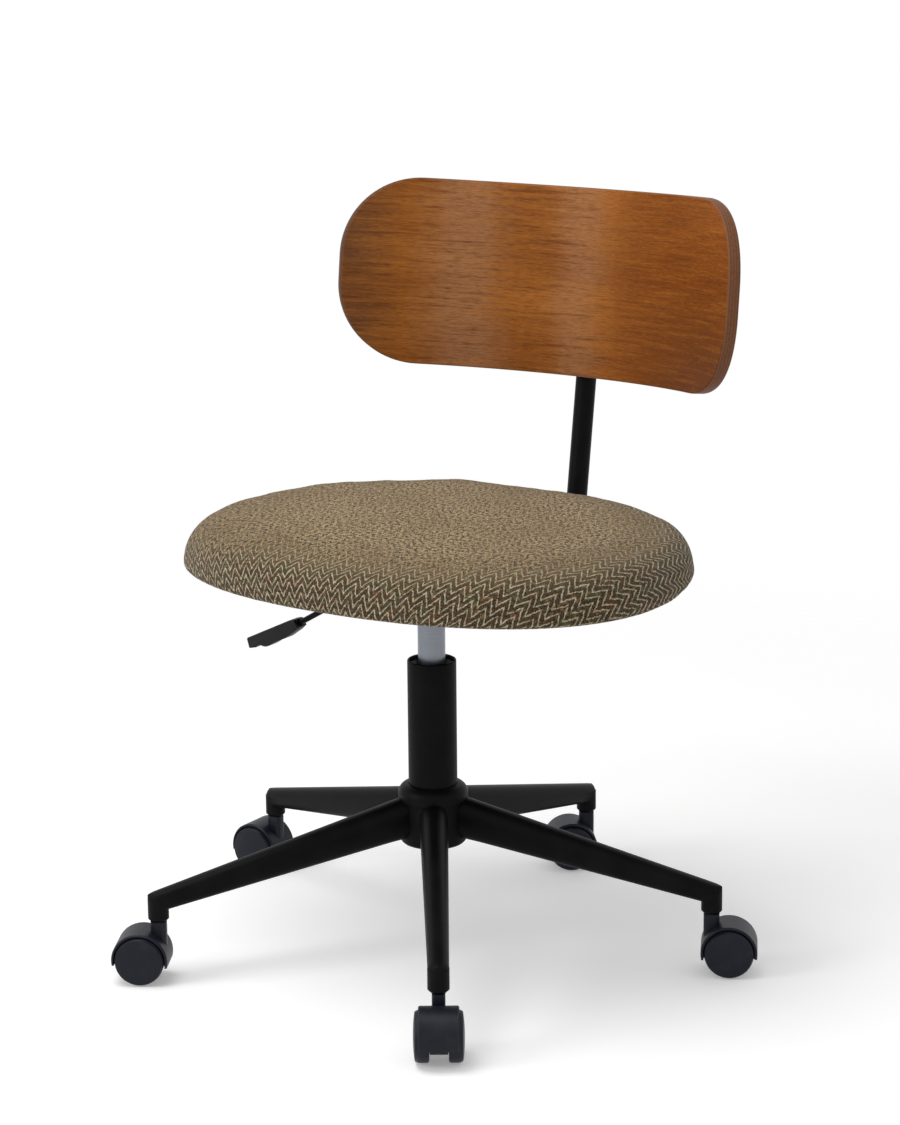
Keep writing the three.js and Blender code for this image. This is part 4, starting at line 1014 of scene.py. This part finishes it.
# %% [markdown]
# On the crown the fibres are brushed over by use, so the rows fade there into a beige
# heather with dark specks, in which the zigzag is only faint. The mesh carries how far
# each point lies in from the widest line, which says where they fade. At one end, which
# the photograph shows rubbed, they fade sooner. The same measure paints shade: the cloth
# is paler on the top and darker towards the widest line, where the top turns into the side.


# %% Tweed
def tweed_cloth():
    cloth = Finish("tweed", Specular_IOR_Level=0.06)
    cloth.shader.inputs["Sheen Weight"].default_value = 0.1
    cloth.shader.inputs["Sheen Roughness"].default_value = 0.6
    flat = cloth.add("UVMap", {"uv_map": "sheet"})
    along, across, off = zigzag(cloth, flat)
    inward = cloth.add("Attribute", {"attribute_name": "inward"}, output=2)
    slub = cloth.noise(flat, 620.0, 2.0, 0.65)
    fibre = cloth.noise(flat, 1500.0, 3.0, 0.7)
    patch = cloth.noise(flat, 75.0, 2.0)
    broad = cloth.noise(flat, 13.0, 2.0)
    worn = cloth.noise(flat, 190.0, 3.0, 0.7)
    rubbed = (along * -0.84 + across * -0.54).ramp(0.15, 0.25) * 0.035
    shown = 1.0 - (inward + rubbed + (worn - 0.5) * 0.08).ramp(0.04, 0.095)
    broken = slub.ramp(0.36, 0.58) * 0.55 + worn.ramp(0.38, 0.54) * 0.45
    yarn = (1.0 - off.ramp(0.1, 0.38)) * broken

    ground = cloth.mix(slub.ramp(0.38, 0.62), srgb("#21180f"), srgb("#594a32"))
    ground = cloth.layered(
        ground,
        (patch.ramp(0.55, 0.7) * 0.45, "#6b3f2a"),
        ((1.0 - patch.ramp(0.3, 0.45)) * 0.4, "#575a3c"),
        (worn.ramp(0.52, 0.66) * 0.6, "#8c7853"),
        # painted light: the ground is paler where the cloth lies on the top than down the side
        (inward.ramp(0.02, 0.08) * 0.35, "#86714b"),
    )
    cream = cloth.mix(fibre.ramp(0.3, 0.7), srgb("#b3a17d"), srgb("#ebe0c6"))
    rowed = cloth.mix(yarn, ground, cream)

    speck = cloth.noise(flat, 250.0, 2.0, 0.6)
    heather = cloth.mix(speck.ramp(0.46, 0.53), srgb("#21160b"), srgb("#af9569"))
    heather = cloth.layered(
        heather,
        ((1.0 - slub.ramp(0.4, 0.48)) * 0.75, "#2c1f13"),
        (slub.ramp(0.52, 0.64) * 0.45, "#cdba95"),
        (broad.ramp(0.4, 0.65) * 0.3, "#6e5434"),
        (patch.ramp(0.5, 0.7) * 0.35, "#6e5434"),
        (yarn * 0.42, "#d6c6a4"),
        # painted shade: the heather darkens towards the widest line, where the top turns into the
        # side
        ((1.0 - inward.ramp(0.05, 0.14)) * 0.3, "#4d3b25"),
    )
    tone = cloth.mix(shown, heather, rowed)
    height = yarn * 0.8 + slub * 0.6 + fibre * 0.5 + speck * 0.5
    return cloth.wear(tone, 0.9 + fibre * 0.08, cloth.bump(height, 0.0008, 0.8))


cushion.data.materials.clear()
cushion.data.materials.append(tweed_cloth())
cushion.data.shade_smooth()
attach(cushion, "seat")
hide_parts("seat_cushion")
print("tweed has", len(cushion.data.materials[0].node_tree.nodes), "nodes")

# %% [markdown]
# ## Back
#
# The backrest is bent plywood with a walnut face. A flat slab comes first: a box whose
# four corners are rounded, and whose rims are eased. It is cut across into narrow strips,
# and then every point is wrapped round the back's curve and leaned back. A spun arc would
# need its round corners cut afterwards; bending a finished slab keeps them, and the flat
# slab's own coordinates become the veneer's map.

# %% The panel
PANEL_HALF = 262.0
PANEL_HEIGHT = 200.0
PANEL_THICKNESS = 13.5
PANEL_RADIUS = 318.0
PANEL_CORNER = 85.7
PANEL_RIM = 2.2
PANEL_LEAN = math.radians(6.6)
PANEL_PLACE = AXIS + Vector((0, 286.97, 651.4)) * MM
back_place = Matrix.Translation(PANEL_PLACE) @ Matrix.Rotation(-PANEL_LEAN, 4, "X")


def panel_shape():
    low = (-PANEL_HALF, 0, -PANEL_HEIGHT / 2)
    high = (PANEL_HALF, PANEL_THICKNESS, PANEL_HEIGHT / 2)
    shape = rounded_box(low, high, PANEL_CORNER, 24, 1)
    ease(shape, sharp_edges(shape, 60), PANEL_RIM * MM, 4)
    for place in np.linspace(-PANEL_HALF + 4, PANEL_HALF - 4, 66):
        bmesh.ops.bisect_plane(
            shape,
            geom=shape.verts[:] + shape.edges[:] + shape.faces[:],
            plane_co=(place * MM, 0, 0),
            plane_no=(1, 0, 0),
        )
    return shape


panel = panel_shape()
flat = panel.loops.layers.uv.new("veneer")
depth = panel.verts.layers.float.new("ply_depth")
for vert in panel.verts:
    vert[depth] = vert.co.y / (PANEL_THICKNESS * MM)
for face in panel.faces:
    face.material_index = 1 if abs(face.normal.y) < 0.7 else 0
    for corner in face.loops:
        corner[flat].uv = (corner.vert.co.x, corner.vert.co.z)
for vert in panel.verts:
    radius = PANEL_RADIUS * MM + vert.co.y
    turn = vert.co.x / (PANEL_RADIUS * MM)
    vert.co.x = radius * math.sin(turn)
    vert.co.y = radius * math.cos(turn) - PANEL_RADIUS * MM
moved(panel, back_place)

# %% [markdown]
# Walnut veneer has three scales of figure: broad bands of colour, long streaks along the
# grain, and short dark pores. A photograph of veneer would repeat; each figure is a noise
# stretched along the panel instead. Two soft upright bands across the grain are a painted
# sheen: paler colour where the wood's fibres rise and fall and catch the light. Both ends
# are darker.


# %% Walnut
def walnut_face():
    wood = Finish("walnut", Specular_IOR_Level=0.09)
    wood.shader.inputs["Coat Weight"].default_value = 0.02
    wood.shader.inputs["Coat Roughness"].default_value = 0.4
    flat = wood.add("UVMap", {"uv_map": "veneer"})
    side, height, _ = wood.split(flat)

    def stretched(x, y, detail=3.0, roughness=0.55):
        point = wood.add("Mapping", {}, {"Vector": flat, "Scale": (x, y, 1)})
        return wood.noise(point, 1.0, detail, roughness)

    band = stretched(3.0, 16.0, 2.0)
    streak = stretched(11.0, 210.0, 5.0, 0.7)
    dash = stretched(46.0, 560.0, 3.0, 0.65)
    fine = stretched(120.0, 1100.0, 3.0, 0.7)
    figure = stretched(26.0, 1.6, 2.0)
    ragged = side + (figure - 0.5) * 0.03 + (band - 0.5) * 0.05 + (streak - 0.5) * 0.06
    left_sheen_band = ragged.ramp(-0.195, -0.135) * (1.0 - ragged.ramp(-0.118, -0.068))
    right_sheen_band = ragged.ramp(-0.04, -0.005) * (1.0 - ragged.ramp(0.005, 0.05))
    tone = wood.mix(band.ramp(0.3, 0.7), srgb("#8a4d17"), srgb("#a56426"))
    # darker towards the left end
    dark_left_end = (1.0 - ragged.ramp(-0.26, -0.18)) * (0.5 + band.ramp(0.4, 0.6) * 0.3)
    low_end = side.ramp(0.03, 0.2) * (1.0 - height.ramp(-0.09, 0.07)) * 0.6
    tone = wood.layered(
        tone,
        # painted sheen: the two upright bands are paler, where the figure would catch the light
        ((left_sheen_band + right_sheen_band * 0.75) * 0.42, "#ab8363"),
        (dark_left_end, "#5c3d2a"),
        (ragged.ramp(0.03, 0.09) * 0.65, "#7b3c00"),
        (low_end, "#4f2402"),
        (streak.ramp(0.48, 0.75) * 0.45, "#b9742f"),
        ((1.0 - streak.ramp(0.3, 0.5)) * 0.7, "#5a2c0e"),
        (dash.ramp(0.5, 0.68) * 0.42, "#4d260e"),
        (fine.ramp(0.42, 0.7) * 0.45, "#5c3012"),
        ((1.0 - fine.ramp(0.25, 0.45)) * 0.3, "#c98443"),
    )
    bumps = wood.bump(fine * 0.6 + dash * -0.5, 0.00014, 0.5)
    return wood.wear(tone, 0.42 + fine * 0.12 + dash * 0.06, bumps)


# %% [markdown]
# The edge shows the plies as thin lines, because the panel was cut after it was glued. The
# mesh carries how deep each point lies in the panel, and a triangle wave on that draws the
# lines all the way round. The rim next to the face wears pale, and one end is darker.


# %% Plywood edge
def ply_edge():
    edge = Finish("ply_edge", Specular_IOR_Level=0.14)
    depth = edge.add("Attribute", {"attribute_name": "ply_depth"}, output=2)
    ply = abs((depth * 4.5).part() - 0.5) * 2.0
    fibre = edge.noise(edge.place(), 420.0, 3.0, 0.6)
    tone = edge.mix(ply.ramp(0.3, 0.7) * 0.5, srgb("#7d5238"), srgb("#5f3c28"))
    side = edge.split(edge.add("UVMap", {"uv_map": "veneer"}))[0]
    tone = edge.layered(
        tone,
        (fibre.ramp(0.4, 0.75) * 0.4, "#4b2f20"),
        ((1.0 - depth.ramp(0.1, 0.24)) * 0.6, "#7c5338"),
        # darker towards the left end
        ((1.0 - side.ramp(-0.22, -0.1)) * 0.75, "#3a2317"),
    )
    return edge.wear(tone, 0.5 + fibre * 0.1, edge.bump(fibre, 0.0001, 0.5))


piece("panel", panel, [walnut_face(), ply_edge()], "seat", ["backrest_panel"], 35)

# %% [markdown]
# The post is one bent tube. A ring of points is extruded along the straight run, spun
# round the bend and extruded up the lean. A curve with a round bevel would do as well, but
# has no wall; here solidify gives the ring its wall at the end. A pressed plate is welded
# to the tube's front end and takes three bolts up into the seat board.

# %% The post
POST_LEAN = math.radians(8.75)
POST_RADIUS = 11.0
POST_WALL = 1.8
BEND_RADIUS = 40.0
BEND = math.pi / 2 - POST_LEAN
TANGENT = BEND_RADIUS * math.tan(BEND / 2)
RUN_START = 115.97
RUN_HEIGHT = 378.9
RUN_END = 282.07 - TANGENT
POST_TOP = 698.4
UPRIGHT = (POST_TOP - RUN_HEIGHT) / math.cos(POST_LEAN) - TANGENT


def post_shape():
    shape = bmesh.new()
    bmesh.ops.create_circle(shape, cap_ends=False, radius=POST_RADIUS * MM, segments=40)
    start = Matrix.Translation(Vector((0, RUN_START, RUN_HEIGHT)) * MM)
    moved(shape, start @ Matrix.Rotation(math.pi / 2, 4, "X"))

    def grown(edges, move):
        verts, edges = extruded(shape, edges)
        bmesh.ops.translate(shape, vec=move, verts=verts)
        return edges

    edges = grown(shape.edges[:], Vector((0, RUN_END - RUN_START, 0)) * MM)
    centre = Vector((0, RUN_END, RUN_HEIGHT + BEND_RADIUS)) * MM
    bent = bmesh.ops.spin(shape, geom=edges, cent=centre, axis=(1, 0, 0), angle=BEND, steps=18)
    rise = Vector((0, math.sin(POST_LEAN), math.cos(POST_LEAN))) * UPRIGHT * MM
    grown(edges_of(bent["geom_last"]), rise)
    merge(shape)
    outward(shape)
    bmesh.ops.solidify(shape, geom=shape.faces[:], thickness=POST_WALL * MM)
    outward(shape)
    return shape


tube = post_shape()
plate = rounded_box((-32, 91.97, 389), (32, 189.97, 391.5), 8, 6)
post = on_column(combined(tube, plate))
piece("post", post, black_coat, "seat", ["back_post"])

# %% [markdown]
# A moulded cap closes the tube's upper end, or its cut edge would show and hold dust. It is
# a turned plug with a rounded head, leaned with the tube.

# %% The post's cap
plug = [(0, -12), (8.9, -12), (8.9, 0.3), (11, 0.3)]
head = [(11, 1.2), (10.4, 2), (8.9, 2.5), (0, 2.5)]
cap = spun(plug + head, 40)
top_y = RUN_END + BEND_RADIUS * math.sin(BEND) + UPRIGHT * math.sin(POST_LEAN)
post_top = AXIS + Vector((0, top_y, POST_TOP)) * MM
moved(cap, Matrix.Translation(post_top) @ Matrix.Rotation(-POST_LEAN, 4, "X"))
piece("post_cap", cap, sleeve_plastic, "seat", ["post_top_cap"])

# %% [markdown]
# ## Small steel parts
#
# The seat plate, the bracket behind the back and the lever are pressed or bent steel
# whose solids already have their real form. A copy of each solid, with its corners merged
# and its sharp edges eased, is enough: the finish does the rest.

# %% Pressed and bent parts
for name, node, radius in (("mount_plate", "seat_plate", 0.5), ("bracket", "back_bracket", 0.4)):
    piece(name, node_copy(node, radius), black_coat, "seat", [node])
rod = node_copy("lever_rod", 0.3)
piece("lever", rod, black_coat, "lever", ["lever_rod"], 50)
grip = node_copy("lever_handle", 0.7)
piece("grip", grip, grip_plastic, "lever", ["lever_handle"])

# %% [markdown]
# The seat board is birch plywood, and a thin black cloth closes the seat from below. Both
# are seen only from underneath. The birch's grain is a noise stretched along the board,
# and the cloth is bonded fibre, so it has no weave, only fibres and faint dents.


# %% Plywood and lining cloth
def birch_board():
    board = Finish("birch_board", Specular_IOR_Level=0.3)
    grain = board.noise(board.place((90, 4, 90)), 1.0, 4.0, 0.6)
    ring = board.noise(board.place((14, 1.5, 420)), 1.0, 2.0, 0.5)
    tone = board.mix(grain.ramp(0.3, 0.75), srgb("#b58f60"), srgb("#95703f"))
    tone = board.mix(ring.ramp(0.5, 0.7) * 0.4, tone, srgb("#7c5a34"))
    return board.wear(tone, 0.68 + grain * 0.12, board.bump(grain, 0.00015, 0.6))


def lining_cloth():
    cloth = Finish("lining_cloth", Specular_IOR_Level=0.1)
    point = cloth.place()
    fibre = cloth.noise(point, 1900.0, 3.0, 0.7)
    dent = cloth.noise(point, 320.0, 1.0)
    tone = cloth.mix(fibre.ramp(0.5, 0.8), srgb("#161616"), srgb("#2b2b2c"))
    return cloth.wear(tone, 0.88 + fibre * 0.1, cloth.bump(fibre * 0.5 + dent, 0.0002, 0.7))


# %% [markdown]
# The piston rod stays in the base while the cylinder slides on it. It is turned, so it is
# spun like the hub. The rings around it, the pins, the bolts and the screws are plated with
# zinc too. Their solids have grooves, heads and recesses already, so a copy with eased
# edges is all that each needs.

# %% Piston rod, pins, bolts and screws
foot = [(0, 108.4), (4.4, 108.4), (5, 109), (5, 112.6), (4, 112.6), (4, 114.4), (5, 114.4)]
shaft = [(5, 126.5), (8, 126.5), (8, 129.5), (5, 129.5), (5, 264.4), (11.5, 264.4), (12, 264.9)]
rod = on_column(spun([*foot, *shaft, (12, 273.9), (11.5, 274.4), (0, 274.4)], 40))
piece("piston_rod_steel", rod, zinc_steel, "lift_rod", ["piston_rod"])
plated = {
    "thrust_bearing": ("base", 0.15, 40),
    "retaining_clip": ("lift_rod", 0.15, 40),
    "release_pin": ("release_button", 0.25, 50),
    "lever_pivot_pin": ("seat", 0.25, 50),
}
for name in sorted(nodes):
    if "_bolt_" in name or "_screw_" in name:
        plated[name] = ("seat", 0.2, 35)
for name, (body, radius, smooth) in plated.items():
    made = node_copy(name, radius)
    piece(f"{name}_steel", made, zinc_steel, body, [name], smooth)

# %% [markdown]
# The board lies in the pad's recess and the lining is stretched flat under both.

# %% Board and lining
piece("board", node_copy("seat_board", 0), birch_board(), "seat", ["seat_board"])
cloth = lining_cloth()
lining = node_copy("seat_bottom_cover", 0)
lining = piece("lining", lining, cloth, "seat", ["seat_bottom_cover"])
